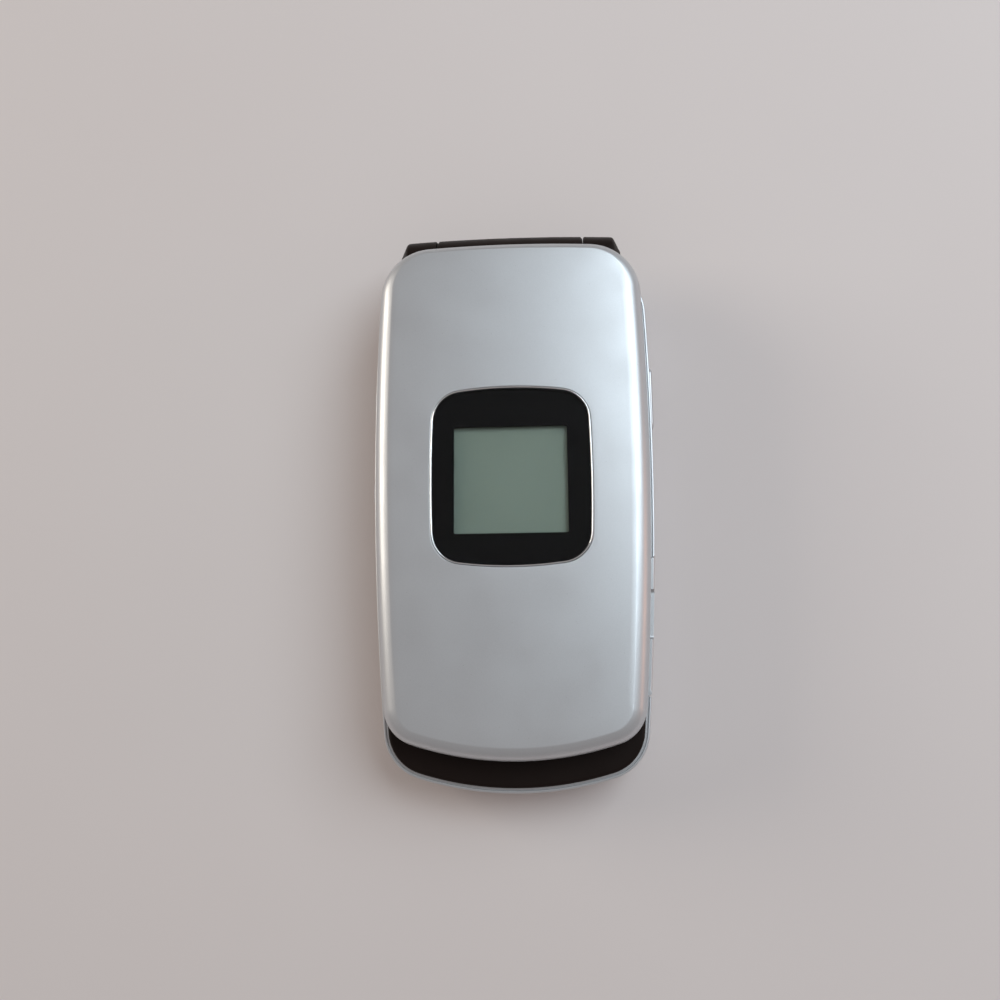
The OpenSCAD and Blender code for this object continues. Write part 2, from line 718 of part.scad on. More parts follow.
module lid_inner_frame() color(dark) difference() {
    union() {
        difference() {
            union() {
                slab(lid_o, 0.25, lid_low, frame_z);
                difference() {
                    slab(lid_o, lid_skin + 0.15, frame_z - 0.1, frame_z + 1.2);
                    slab(lid_o, lid_skin + 0.9, 0, far);
                    block(-body_w, body_w, trough_y - 2, far, frame_z, far);
                    for (p = lid_screws_at) post(p, boss_r + 0.1, frame_z, far);
                }
            }
            bar(-body_w, body_w, swing_r);
        }
        for (p = lid_screws_at) post(p, boss_r, frame_z - 0.1, frame_z + 0.85);
        turned([[0, -knuckle_x], [barrel_at(knuckle_x), -knuckle_x],
                [barrel_at(knuckle_x / 2), -knuckle_x / 2], [barrel_r, 0],
                [barrel_at(knuckle_x / 2), knuckle_x / 2],
                [barrel_at(knuckle_x), knuckle_x], [0, knuckle_x]]);
        block(-knuckle_x + 0.2, knuckle_x - 0.2, trough_y - 1.5, hinge_y, lid_low, lid_low + 3.6);
    }
    bar(1, far, cartridge_r + 0.02);
    bar(-far, -2, sleeve_r + run_gap);
    block(flex_x[0] - 0.2, flex_x[1] + 0.2, 0, hinge_y, lid_ribbon_z - 0.1, lid_ribbon_z + 0.5);
    block(-glass_x - 0.1, glass_x + 0.1, panel_y[0] - 1.3, panel_y[1] + 1.3, 0, lid_low + 0.8);
    block(-panel_x + view_in, panel_x - view_in, panel_y[0] + 2, panel_y[1] - 2, 0, far);
    pill_at([0, ear_y], 9.2, 2.4, 1.1, 0, lid_low + 0.5);
    for (i = [-1 : 1]) block(i * 2.6 - 0.8, i * 2.6 + 0.8, ear_y - 0.5, ear_y + 0.5, 0, far);
    for (p = lid_screws_at) {
        post(p, head_r + 0.1, 0, frame_z);
        post(p, shank_r + 0.1, 0, far);
    }
    both_sides() post([pad_x, pad_y], 1.25, 0, lid_low + 0.6);
}

module lid_bumpers() color(rubber) both_sides()
    post([pad_x, pad_y], 1.25, base_t + 0.08, lid_low + 0.6);

module outer_window() color([0.03, 0.03, 0.035])
    slab(window_o, 0, window_low, lid_z - 0.12);

module outer_bezel() color([0.86, 0.87, 0.88]) difference() {
    slab(window_o, -bezel_w, window_low, lid_z);
    slab(window_o, 0, 0, far);
}

module outer_display() color([0.38, 0.42, 0.38])
    block(-11, 11, window_y - 10.9, window_y + 11.5, lcd_board_z, window_low - 0.1);

module display_board() color(board_green)
    block(-panel_x + 0.5, panel_x - 0.5, panel_y[0], hinge_y - 13, panel_z, lcd_board_z);

module inner_display() color([0.30, 0.34, 0.38])
    block(-panel_x, panel_x, panel_y[0], panel_y[1], frame_z, panel_z);

module inner_window() color([0.05, 0.05, 0.06])
    block(-glass_x, glass_x, panel_y[0] - 1.2, panel_y[1] + 1.2, lid_low + 0.05, lid_low + 0.8);

module earpiece() color(dark) block(-5.5, 5.5, ear_y - 2.6, ear_y + 2.6, frame_z, frame_z + 2.4);

module earpiece_grille() color(steel) difference() {
    pill_at([0, ear_y], 9, 2.2, 1, lid_low + 0.05, lid_low + 0.5);
    for (i = [-4 : 4]) block(i * 0.9 - 0.2, i * 0.9 + 0.2, ear_y - 0.6, ear_y + 0.6, 0, far);
}

module closing_magnet() color(steel) post([9.5, ear_y], 2, frame_z, frame_z + 1.6);

/* ---- Hinge ---- */

module hinge_cartridge() color(steel) difference() {
    bar(1.1, knuckle_x - part_gap, cartridge_r);
    bar(4, far, shaft_r + run_gap);
}

module hinge_shaft() color(steel) bar(4.3, chamfer_x + 0.2, shaft_r);

module hinge_sleeve() color(steel) difference() {
    bar(-chamfer_x + 0.1, -8, sleeve_r);
    bar(-far, far, sleeve_in);
    block(ribbon_x[0] - 0.1, ribbon_x[1] + 0.1, 0, hinge_y, ribbon_z - 0.1, ribbon_z + 0.4);
}

coil_r = 1.7;

module flex_cable() color(amber) {
    bar(ribbon_x[0], -6.6, coil_r);
    block(ribbon_x[0], ribbon_x[1], mat_y[1] + 1, hinge_y, ribbon_z, ribbon_z + 0.25);
}

module display_flex() color(amber) {
    bar(flex_x[0], flex_x[1], coil_r);
    block(flex_x[0], flex_x[1], hinge_y - 15, hinge_y, lid_ribbon_z, lid_ribbon_z + 0.3);
    block(flex_x[0], flex_x[1], hinge_y - 15, hinge_y - 14.7, lid_ribbon_z, panel_z);
}

for (i = [0 : len(NUMBER_KEYS) - 1]) key(i);
key(12);  // soft_key_left
key(13);  // soft_key_right
key(14);  // send_key
key(15);  // end_key
key(16);  // clear_key
nav_ring();
ok_key();
volume_rocker();
side_key();
front_housing();
rear_housing();
keypad_mat();
dome_sheet();
main_board();
shield_cans();
charge_connector();
port_cover();
battery_pack();
battery_cover();
battery_contacts();
loudspeaker();
microphone();
vibration_motor();
motor_weight();
antenna();
base_screws();
base_screw_plugs();
lid_cover();
lid_inner_frame();
outer_window();
outer_bezel();
outer_display();
display_board();
inner_display();
inner_window();
earpiece();
earpiece_grille();
closing_magnet();
lid_bumpers();
lid_screws();
lid_screw_plugs();
hinge_cartridge();
hinge_shaft();
hinge_sleeve();
flex_cable();
display_flex();
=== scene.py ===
"""The looks of a closed clamshell phone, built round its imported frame.

Shapes are worked out in millimetres in the frame's own axes: X across the phone, Y from the
chin to the hinge, Z from the back to the face of the lid. They turn into metres in piece().
"""
import contextlib
import json
import math

import bmesh
import bpy
from mathutils import Matrix, Vector
from mathutils.bvhtree import BVHTree


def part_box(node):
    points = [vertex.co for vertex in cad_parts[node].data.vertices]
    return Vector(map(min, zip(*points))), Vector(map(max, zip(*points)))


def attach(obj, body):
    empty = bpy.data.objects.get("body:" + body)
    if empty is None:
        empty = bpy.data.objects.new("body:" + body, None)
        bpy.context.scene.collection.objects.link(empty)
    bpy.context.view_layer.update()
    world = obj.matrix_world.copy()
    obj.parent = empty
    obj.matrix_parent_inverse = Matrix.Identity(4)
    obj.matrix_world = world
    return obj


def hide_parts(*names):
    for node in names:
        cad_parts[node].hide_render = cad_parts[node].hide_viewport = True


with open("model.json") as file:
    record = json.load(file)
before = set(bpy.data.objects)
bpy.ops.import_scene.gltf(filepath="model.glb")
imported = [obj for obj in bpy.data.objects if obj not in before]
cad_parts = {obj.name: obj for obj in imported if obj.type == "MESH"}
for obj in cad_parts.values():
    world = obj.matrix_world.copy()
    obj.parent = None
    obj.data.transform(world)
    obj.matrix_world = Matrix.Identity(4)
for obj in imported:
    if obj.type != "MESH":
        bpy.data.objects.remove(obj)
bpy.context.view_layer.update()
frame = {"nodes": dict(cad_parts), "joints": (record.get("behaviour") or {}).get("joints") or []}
MM = 0.001


def low(node):
    """The lowest corner of a node of the frame, in millimetres."""
    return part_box(node)[0] / MM


def high(node):
    """The highest corner of a node of the frame, in millimetres."""
    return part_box(node)[1] / MM


# ---- Sizes ----
# Where a node or a joint of the frame shows a size, it is read from there. The others are the
# sizes of the CAD written out again.

HINGE_Y, HINGE_Z = [c / MM for c in frame["joints"][0]["pos_m"][1:]]
BODY_W = 2 * high("rear_housing").x
HALF_W = BODY_W / 2
CHIN_Y = low("rear_housing").y
WIDE_Y = 11.5  # where the phone is widest
SIDE_R = 560  # the bow of its sides
BASE_T = HINGE_Z  # the face of the base
LIP_Z = BASE_T - 1.1  # the upper edge of its silver housing
LID_LOW = BASE_T + 0.3  # the inner face of the lid
FRAME_Z = low("lid_cover").z  # where the lid's frame and cover meet
LID_Z = high("outer_bezel").z
WALL = 1.3
BARREL_R = 4.6
BARREL_CROWN = 0.5  # how much thinner the barrel is at its ends
BARREL_X = 19.5
CHAMFER_X = BARREL_X - 1.3
EAR_X = 13.0
KNUCKLE_X = 12.8
SWING_R = BARREL_R + 0.3  # the room round the barrel
RIM_W = 2.7
BEZEL_W = 0.25
PROUD = 0.5  # how far the side keys stand out
FAR, ABOVE = 80, 30  # beyond every side, and over the whole phone

# An outline is its width, the height where it is widest and the radius of its sides, and then
# for the chin end and the hinge end the height, the bow's radius and the corner's.
BASE = (BODY_W, WIDE_Y, SIDE_R, CHIN_Y, 55.6, 8.2, HINGE_Y - 0.5, 268, 8.2)
LID = (BODY_W - 2.3, WIDE_Y, SIDE_R, CHIN_Y + 5.5, 54.3, 6.5, HINGE_Y + 1.3, 268, 9)
FACE = (LID[0] - 2 * RIM_W, WIDE_Y, SIDE_R - RIM_W, LID[3] + 2.4, 51.9, 4.1,
        HINGE_Y - 0.45, 268 - RIM_W, 6.3)
WINDOW = (26.25, 3.3, 241, -11.55, 65, 5, 18.15, 65, 5)
PAD = (BODY_W - 6, WIDE_Y, SIDE_R - 3, -39, 90, 4.5, 25.3, 265, 6)
# Steps along each end, round each corner and along each side of an outline.
END_STEPS, CORNER_STEPS, SIDE_STEPS = 14, 12, 16
ROUND_STEPS = 64


# ---- Outlines ----

def crossing(a, ra, b, rb, way):
    """The crossing of two circles that lies up, or with way = -1 down, from their centre line."""
    d = (b - a).length
    u = (b - a) / d
    k = (ra * ra - rb * rb + d * d) / (2 * d)
    return a + k * u + way * math.sqrt(ra * ra - k * k) * Vector((-u.y, u.x))


def bearing(v):
    """The direction of a vector, in radians."""
    return math.atan2(v.y, v.x)


def arc(centre, r, start, stop, steps):
    """Points on an arc, without its last one."""
    turns = [start + (stop - start) * i / steps for i in range(steps)]
    return [centre + r * Vector((math.cos(t), math.sin(t))) for t in turns]


def outline(o, inset=0):
    """An outline's points, anticlockwise from the middle of the chin end, drawn in by inset."""
    side = Vector((o[0] / 2 - o[2], o[1]))
    chin = Vector((0, o[3] + o[4]))
    top = Vector((0, o[6] - o[7]))
    chin_c = crossing(side, o[2] - o[5], chin, o[4] - o[5], -1)
    top_c = crossing(side, o[2] - o[8], top, o[7] - o[8], 1)
    turns = [-math.pi / 2, bearing(chin_c - chin), bearing(chin_c - side),
             bearing(top_c - side), bearing(top_c - top), math.pi / 2]
    half = (arc(chin, o[4] - inset, turns[0], turns[1], END_STEPS)
            + arc(chin_c, o[5] - inset, turns[1], turns[2], CORNER_STEPS)
            + arc(side, o[2] - inset, turns[2], turns[3], SIDE_STEPS)
            + arc(top_c, o[8] - inset, turns[3], turns[4], CORNER_STEPS)
            + arc(top, o[7] - inset, turns[4], turns[5], END_STEPS))
    mirrored = [Vector((-p.x, p.y)) for p in half[:0:-1]]
    return half + [Vector((0, o[6] - inset))] + mirrored


def plan(o):
    """The outline as a function of how far it is drawn in."""
    return lambda inset: outline(o, inset)


SMALLEST_R = 0.02


def pill(centre, w, l, r, steps=8):
    """A rectangle with round corners, as a function of how far it is drawn in."""
    def points(inset):
        round_r = max(r - inset, SMALLEST_R)
        hw, hl = w / 2 - inset - round_r, l / 2 - inset - round_r
        out = []
        for quarter, (sx, sy) in enumerate(((1, 1), (-1, 1), (-1, -1), (1, -1))):
            for i in range(steps + 1):
                t = math.pi / 2 * (quarter + i / steps)
                out.append(Vector((centre[0] + sx * hw + round_r * math.cos(t),
                                   centre[1] + sy * hl + round_r * math.sin(t))))
        return out
    return points


def disc(centre, r, steps=ROUND_STEPS):
    """A circle, as a function of how far it is drawn in."""
    def points(inset):
        turns = [2 * math.pi * i / steps for i in range(steps)]
        return [Vector((centre[0] + (r - inset) * math.cos(t),
                        centre[1] + (r - inset) * math.sin(t))) for t in turns]
    return points


def side_x(y, inset=0):
    """How far out the side of the base is at a height, drawn in by inset."""
    return HALF_W - SIDE_R + math.sqrt((SIDE_R - inset) ** 2 - (y - WIDE_Y) ** 2)


def fillet(start, stop, steps=5, bulge=1):
    """Pairs along a quarter ellipse from start to stop, leaving start along the second axis."""
    out = []
    for i in range(steps + 1):
        t = math.pi / 2 * i / steps
        k, m = 1 - math.cos(t), math.sin(t)
        if bulge < 0:
            k, m = math.sin(t), 1 - math.cos(t)
        out.append((start[0] + (stop[0] - start[0]) * k, start[1] + (stop[1] - start[1]) * m))
    return out


def edged(z0, z1, r0=0.0, r1=0.0, inset=0.0, steps=3):
    """Pairs of inset and height up a wall, rounded by r0 at its foot and r1 at its head."""
    foot = fillet((inset + r0, z0), (inset, z0 + r0), steps, -1) if r0 else [(inset, z0)]
    head = fillet((inset, z1 - r1), (inset + r1, z1), steps) if r1 else [(inset, z1)]
    return foot + head


# ---- Shapes ----

@contextlib.contextmanager
def edited(mesh):
    """A mesh's edit form. What is done to it goes back into the mesh."""
    bm = bmesh.new()
    bm.from_mesh(mesh)
    yield bm
    bm.to_mesh(mesh)
    bm.free()


def shown(mesh):
    """A new object of the scene that shows a mesh."""
    obj = bpy.data.objects.new("shape", mesh)
    bpy.context.scene.collection.objects.link(obj)
    return obj


def from_data(verts, faces):
    """A shape from its points and faces, with every face turned outwards."""
    mesh = bpy.data.meshes.new("shape")
    mesh.from_pydata([tuple(v) for v in verts], [], faces)
    with edited(mesh) as bm:
        bmesh.ops.recalc_face_normals(bm, faces=bm.faces)
    return shown(mesh)


def loft(rings, ends=True):
    """A closed shape through rings of points. Without ends it closes on its first ring."""
    count = len(rings[0])
    faces = []
    for r in range(len(rings) - 1 if ends else len(rings)):
        a, b = r * count, (r + 1) % len(rings) * count
        for i in range(count):
            j = (i + 1) % count
            faces.append((a + i, a + j, b + j, b + i))
    if ends:
        last = (len(rings) - 1) * count
        faces.append(tuple(reversed(range(count))))
        faces.append(tuple(range(last, last + count)))
    return from_data([p for ring in rings for p in ring], faces)


def prism(points, pairs, ends=True):
    """A shape whose outline follows the pairs of inset and height."""
    return loft([[(p.x, p.y, z) for p in points(inset)] for inset, z in pairs], ends)


def block(x0, x1, y0, y1, z0, z1):
    """A box between two corners."""
    corners = [Vector((x0, y0)), Vector((x1, y0)), Vector((x1, y1)), Vector((x0, y1))]
    return prism(lambda inset: corners, [(0, z0), (0, z1)])


def turned(section, steps=96):
    """A shape turned on the hinge's axis, from pairs of place along it and radius."""
    turns = [2 * math.pi * i / steps for i in range(steps)]
    return loft([[(x, HINGE_Y + r * math.cos(t), HINGE_Z + r * math.sin(t)) for t in turns]
                 for x, r in section])


def bar(x0, x1, r):
    """A round bar on the hinge's axis."""
    return turned([(x0, r), (x1, r)])


def placed(shape, *matrices):
    """A shape moved by one matrix after the other."""
    for m in matrices:
        shape.data.transform(m)
        if m.determinant() < 0:
            shape.data.flip_normals()
    return shape


def sideways(shape, way):
    """Turns a prism drawn in (y, z) so that its height points out of the phone's side."""
    return placed(shape, Matrix(((0, 0, way, 0), (1, 0, 0, 0), (0, 1, 0, 0), (0, 0, 0, 1))))


def mirrored(shape):
    """A copy of a shape on the other side of the phone."""
    return placed(shown(shape.data.copy()), Matrix.Scale(-1, 4, (1, 0, 0)))


def boolean(target, operation, tools):
    """Changes a closed shape by others, which are used up."""
    for tool in tools:
        modifier = target.modifiers.new(operation, "BOOLEAN")
        modifier.operation = operation
        modifier.solver = "MANIFOLD"
        modifier.object = tool
    depsgraph = bpy.context.evaluated_depsgraph_get()
    target.data = bpy.data.meshes.new_from_object(target.evaluated_get(depsgraph))
    target.modifiers.clear()
    for tool in tools:
        bpy.data.objects.remove(tool)
    return target


def cut(target, *tools):
    return boolean(target, "DIFFERENCE", tools)


def fuse(target, *tools):
    return boolean(target, "UNION", tools)


def keep(target, *tools):
    return boolean(target, "INTERSECT", tools)


def joined(*shapes):
    """Several shapes in one mesh, each with the index of its own material."""
    bm = bmesh.new()
    for index, shape in enumerate(shapes):
        start = len(bm.faces)
        bm.from_mesh(shape.data)
        bm.faces.ensure_lookup_table()
        for f in bm.faces[start:]:
            f.material_index = index
    bm.to_mesh(shapes[0].data)
    bm.free()
    for shape in shapes[1:]:
        bpy.data.objects.remove(shape)
    return shapes[0]


MERGED = 0.0005  # points nearer than this are one
SHARP_ANGLE = math.radians(32)


def piece(name, body, shape, looks, nodes=()):
    """Makes a shape a named piece of the phone, in metres, that rides on a body."""
    mesh = shape.data
    with edited(mesh) as bm:
        bmesh.ops.remove_doubles(bm, verts=bm.verts, dist=MERGED)
        bmesh.ops.dissolve_degenerate(bm, edges=bm.edges, dist=MERGED)
    mesh.transform(Matrix.Scale(MM, 4))
    looks = looks if isinstance(looks, list) else [looks]
  # Clearing the materials takes the faces' choice among them away, so it is put back.
    indices = [polygon.material_index for polygon in mesh.polygons] if len(looks) > 1 else []
    mesh.materials.clear()
    for look in looks:
        mesh.materials.append(look)
    for polygon, index in zip(mesh.polygons, indices):
        polygon.material_index = index
    mesh.shade_smooth()
    mesh.set_sharp_from_angle(angle=SHARP_ANGLE)
    shape.name = mesh.name = name
    weighted = shape.modifiers.new("weighted_normals", "WEIGHTED_NORMAL")
    weighted.keep_sharp = True
    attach(shape, body)
    if nodes:
        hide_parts(*nodes)
    return shape


# ---- Finishes ----

class Look:
    """A material, with short calls for the nodes that the finishes share. Sizes are in mm."""

    def __init__(self, name, colour, **sockets):
        self.mat = bpy.data.materials.new(name)
        self.mat.use_nodes = True
        self.tree = self.mat.node_tree
        self.shader = self.tree.nodes["Principled BSDF"]
        self.shader.inputs["Base Color"].default_value = (*colour, 1)
        for socket, value in sockets.items():
            self.shader.inputs[socket.replace("_", " ")].default_value = value
        self.colour = colour
        self.where = self.node("TexCoord").outputs["Object"]
        self.normal = None

    def node(self, kind, inputs=None, **settings):
        made = self.tree.nodes.new("ShaderNode" + kind)
        for key, value in settings.items():
            setattr(made, key, value)
        for key, value in (inputs or {}).items():
            if isinstance(value, bpy.types.NodeSocket):
                self.tree.links.new(value, made.inputs[key])
            else:
                made.inputs[key].default_value = value
        return made

    def noise(self, size, detail=2.0, stretch=(1, 1, 1)):
        mapped = self.node("Mapping", {"Vector": self.where, "Scale": stretch})
        made = self.node("TexNoise", {
            "Vector": mapped.outputs[0], "Scale": 1 / (size * MM), "Detail": detail})
        return made.outputs["Fac"]

    def cells(self, size, output="Color"):
        made = self.node("TexVoronoi", {"Vector": self.where, "Scale": 1 / (size * MM)})
        return made.outputs[output]

    def span(self, value, low_in, high_in, low_out, high_out):
        made = self.node("MapRange", {
            "Value": value, "From Min": low_in, "From Max": high_in,
            "To Min": low_out, "To Max": high_out})
        return made.outputs["Result"]

    def maths(self, operation, a, b):
        made = self.node("Math", {0: a, 1: b}, operation=operation)
        return made.outputs[0]

    def mix(self, factor, a, b, blend="MIX"):
        made = self.node("Mix", {"Factor": factor}, data_type="RGBA", blend_type=blend)
        for socket, value in zip((made.inputs[6], made.inputs[7]), (a, b)):
            if isinstance(value, bpy.types.NodeSocket):
                self.tree.links.new(value, socket)
            else:
                socket.default_value = (*value, 1)
        return made.outputs[2]

    def clouds(self, size, most, colour, detail=3, start=0.35):
        """Clouds of another colour over the shader's, of a size in mm."""
        self.tint(self.span(self.noise(size, detail), start, 0.7, 0.0, most), colour)

    def tint(self, factor, colour):
        """Mixes another colour over what the shader shows so far."""
        socket = self.shader.inputs["Base Color"]
        before = socket.links[0].from_socket if socket.is_linked else self.colour
        self.tree.links.new(self.mix(factor, before, colour), socket)

    def rough(self, value):
        self.tree.links.new(value, self.shader.inputs["Roughness"])

    def worn(self, size, least, most, detail=3, start=0.3, stop=0.75):
        """A roughness that wanders between two values over a size in mm."""
        self.rough(self.span(self.noise(size, detail), start, stop, least, most))

    def soften(self, radius):
        """Rounds every edge's shading by a radius."""
        made = self.node("Bevel", {"Radius": radius * MM}, samples=6)
        self.normal = made.outputs["Normal"]
        self.tree.links.new(self.normal, self.shader.inputs["Normal"])

    def bump(self, height, depth, strength=1.0):
        inputs = {"Height": height, "Distance": depth * MM, "Strength": strength}
        if self.normal:
            inputs["Normal"] = self.normal
        self.normal = self.node("Bump", inputs).outputs["Normal"]
        self.tree.links.new(self.normal, self.shader.inputs["Normal"])


def silver_paint():
    """Satin metallic paint: fine flake, a slight cloudiness and a few specks of dust."""
    look = Look("silver_paint", (0.57, 0.583, 0.605), Metallic=0.72, Roughness=0.36,
                Coat_Weight=0.05, Coat_Roughness=0.30)
    look.soften(0.10)
    cloud = look.noise(9, 3)
    flake = look.cells(0.07)
    look.tint(look.span(flake, 0, 1, 0.0, 0.22), (0.80, 0.81, 0.83))
    look.tint(look.span(cloud, 0.35, 0.7, 0.0, 0.18), (0.48, 0.48, 0.49))
    specks = look.span(look.cells(1.3, "Distance"), 0.035, 0.06, 0.35, 0.0)
    look.tint(specks, (0.30, 0.29, 0.28))
    look.rough(look.span(cloud, 0.3, 0.75, 0.34, 0.42))
    look.bump(look.noise(0.16), 0.004)
    return look.mat


def clear_acrylic():
    """A clear pane that lets the lamps through to what lies behind it."""
    look = Look("clear_acrylic", (0.985, 0.99, 0.99), Roughness=0.03, IOR=1.22,
                Transmission_Weight=1.0)
    look.worn(30, 0.02, 0.05, 2, 0.35, 0.8)
    through = look.node("BsdfTransparent", {"Color": (0.95, 0.96, 0.96, 1)})
    path = look.node("LightPath")
    mixed = look.node("MixShader", {0: path.outputs["Is Shadow Ray"],
                                              1: look.shader.outputs[0],
                                              2: through.outputs[0]})
    out = look.tree.nodes["Material Output"]
    look.tree.links.new(mixed.outputs[0], out.inputs["Surface"])
    return look.mat


def crystal_panel():
    """An unlit reflective liquid crystal panel with its faint grid of dots."""
    look = Look("crystal_panel", (0.126, 0.156, 0.127), Roughness=0.40, Specular_IOR_Level=0.2)
    look.clouds(11, 0.5, (0.106, 0.134, 0.108), 2)
    split = look.node("SeparateXYZ", {"Vector": look.where})
    pitch, gap = 0.19, 0.16
    lines = []
    for axis in ("X", "Y"):
        dots = look.maths("MULTIPLY", split.outputs[axis], 1 / (pitch * MM))
        lines.append(look.maths("LESS_THAN", look.maths("FRACT", dots, 0), gap))
    look.tint(look.maths("MULTIPLY", look.maths("MAXIMUM", *lines), 0.16), (0.24, 0.28, 0.25))
    look.worn(0.3, 0.30, 0.42, 2, stop=0.7)
    return look.mat


def key_paint():
    """Metallic paint on the keys, worn to a mixed gloss."""
    look = Look("key_paint", (0.60, 0.61, 0.63), Metallic=0.55, Roughness=0.36)
    look.soften(0.08)
    look.tint(look.span(look.cells(0.08), 0, 1, 0.0, 0.2), (0.78, 0.79, 0.80))
    look.clouds(3.5, 0.2, (0.50, 0.50, 0.52), start=0.4)
    look.worn(1.5, 0.30, 0.42)
    look.bump(look.noise(0.2), 0.004)
    return look.mat


def coat(name, colour, clouds, worn, soft=0, grain=(), **sockets):
    """A finish of clouds and uneven gloss, with soft edges and a grain where they are given."""
    look = Look(name, colour, **sockets)
    if soft:
        look.soften(soft)
    look.clouds(*clouds)
    look.worn(*worn)
    if grain:
        look.bump(look.noise(*grain[:-1]), grain[-1])
    return look.mat


def print_ink(name, colour):
    """Printed ink, a little thin in places."""
    return coat(name, colour, (0.4, 0.35, [c * 1.5 for c in colour], 3, 0.4),
                (0.2, 0.42, 0.6, 2, 0.3, 0.7), Roughness=0.5)


def moulded(name, colour, shine, grain=0.012, spread=1.35):
    """A plain moulded or drawn material."""
    return coat(name, colour, (4, 0.6, [min(1.0, c * spread) for c in colour]),
                (1.6, shine - 0.06, shine + 0.08), 0.08, (0.12, 3, grain), Roughness=shine)


def metal(name, colour, shine, stretch=(1, 1, 1)):
    """Bare metal with the fine lines of its making along the longest axis of stretch."""
    return coat(name, colour, (2.5, 0.5, [c * 0.8 for c in colour]),
                (0.8, shine - 0.06, shine + 0.08), 0.05, (0.08, 2, stretch, 0.004),
                Metallic=1.0, Roughness=shine)


def circuit_board():
    """Green mask over copper tracks that show as a slightly lighter pattern."""
    look = Look("circuit_board", (0.012, 0.072, 0.030), Roughness=0.35, Coat_Weight=0.3)
    tracks = look.node("TexVoronoi", {"Vector": look.where, "Scale": 1 / (1.4 * MM)},
                       distance="MANHATTAN", feature="F1")
    look.tint(look.span(tracks.outputs["Distance"], 0.42, 0.46, 0.0, 0.55), (0.03, 0.13, 0.055))
    look.worn(1, 0.30, 0.44)
    look.bump(tracks.outputs["Distance"], 0.02)
    return look.mat


SILVER = silver_paint()
DARK = coat("dark_plastic", (0.0100, 0.0056, 0.0044), (6, 0.6, (0.0135, 0.0078, 0.0064)),
            (2.5, 0.38, 0.48, 4), 0.12, (0.11, 3, 0.010), Roughness=0.42, Specular_IOR_Level=0.12)
BLACK = coat("gloss_black", (0.0012, 0.0014, 0.0017), (5, 0.5, (0.0019, 0.0021, 0.0025), 3, 0.4),
             (7, 0.26, 0.36, 4), Roughness=0.30, Specular_IOR_Level=0.03)
CLEAR = clear_acrylic()
BRIGHT = coat("bright_plate", (0.80, 0.81, 0.82), (3, 0.4, (0.66, 0.67, 0.69), 3, 0.4),
              (1.2, 0.12, 0.24), 0.05, (0.4, 0.003), Metallic=1.0, Roughness=0.16)
PANEL = crystal_panel()
SCREEN = coat("black_panel", (0.016, 0.020, 0.024), (40, 0.6, (0.022, 0.028, 0.032), 1),
              (24, 0.22, 0.28, 2), Roughness=0.26, Specular_IOR_Level=0.35)
KEY = key_paint()
INK = print_ink("legend_ink", (0.018, 0.020, 0.026))
GREEN_INK = print_ink("green_ink", (0.02, 0.22, 0.06))
RED_INK = print_ink("red_ink", (0.36, 0.02, 0.02))
RUBBER = moulded("black_rubber", (0.020, 0.020, 0.021), 0.62)
SILICONE = moulded("grey_silicone", (0.45, 0.46, 0.44), 0.5)
FILM = moulded("clear_film", (0.60, 0.60, 0.62), 0.3)
BOARD = circuit_board()
TIN = metal("tinned_sheet", (0.60, 0.61, 0.62), 0.30, (1, 6, 1))
STEEL = metal("turned_steel", (0.50, 0.51, 0.53), 0.28, (6, 1, 1))
CELL = moulded("battery_wrap", (0.055, 0.058, 0.062), 0.40, 0.006)
LABEL = moulded("plain_label", (0.62, 0.62, 0.60), 0.5, 0.006, 1.1)
GOLD = metal("gold_plate", (0.78, 0.56, 0.22), 0.24)
AMBER = moulded("amber_film", (0.42, 0.20, 0.04), 0.30, 0.004)


# ---- Lid ----

RIM_FOOT_Z = 14.3  # where the lid's straight side turns into its rim
RIM_TOP_Z = LID_Z - 0.45
FACE_TOP_Z = LID_Z - 0.06  # the face in the middle of its width
FACE_BOW = 0.30  # how much lower it is at its sides
RIM_STEPS, FACE_STEPS = 14, 9
INNER_Y = -4  # the middle of the inner display


def bezier(points, t):
    """A place on a cubic curve."""
    weights = ((1 - t) ** 3, 3 * t * (1 - t) ** 2, 3 * t * t * (1 - t), t ** 3)
    return sum((w * Vector(p) for w, p in zip(weights, points)), Vector((0, 0)))


def between(a, b, k):
    """Points at a share k of the way from one outline's points to another's."""
    return [p + (q - p) * k for p, q in zip(a, b)]


def level(points, z):
    """A level ring through an outline's points."""
    return [(p.x, p.y, z) for p in points]


def crown_z(x):
    """The height of the lid's face, which is bowed a little across its width."""
    return FACE_TOP_Z - FACE_BOW * (abs(x) / (FACE[0] / 2)) ** 2.5


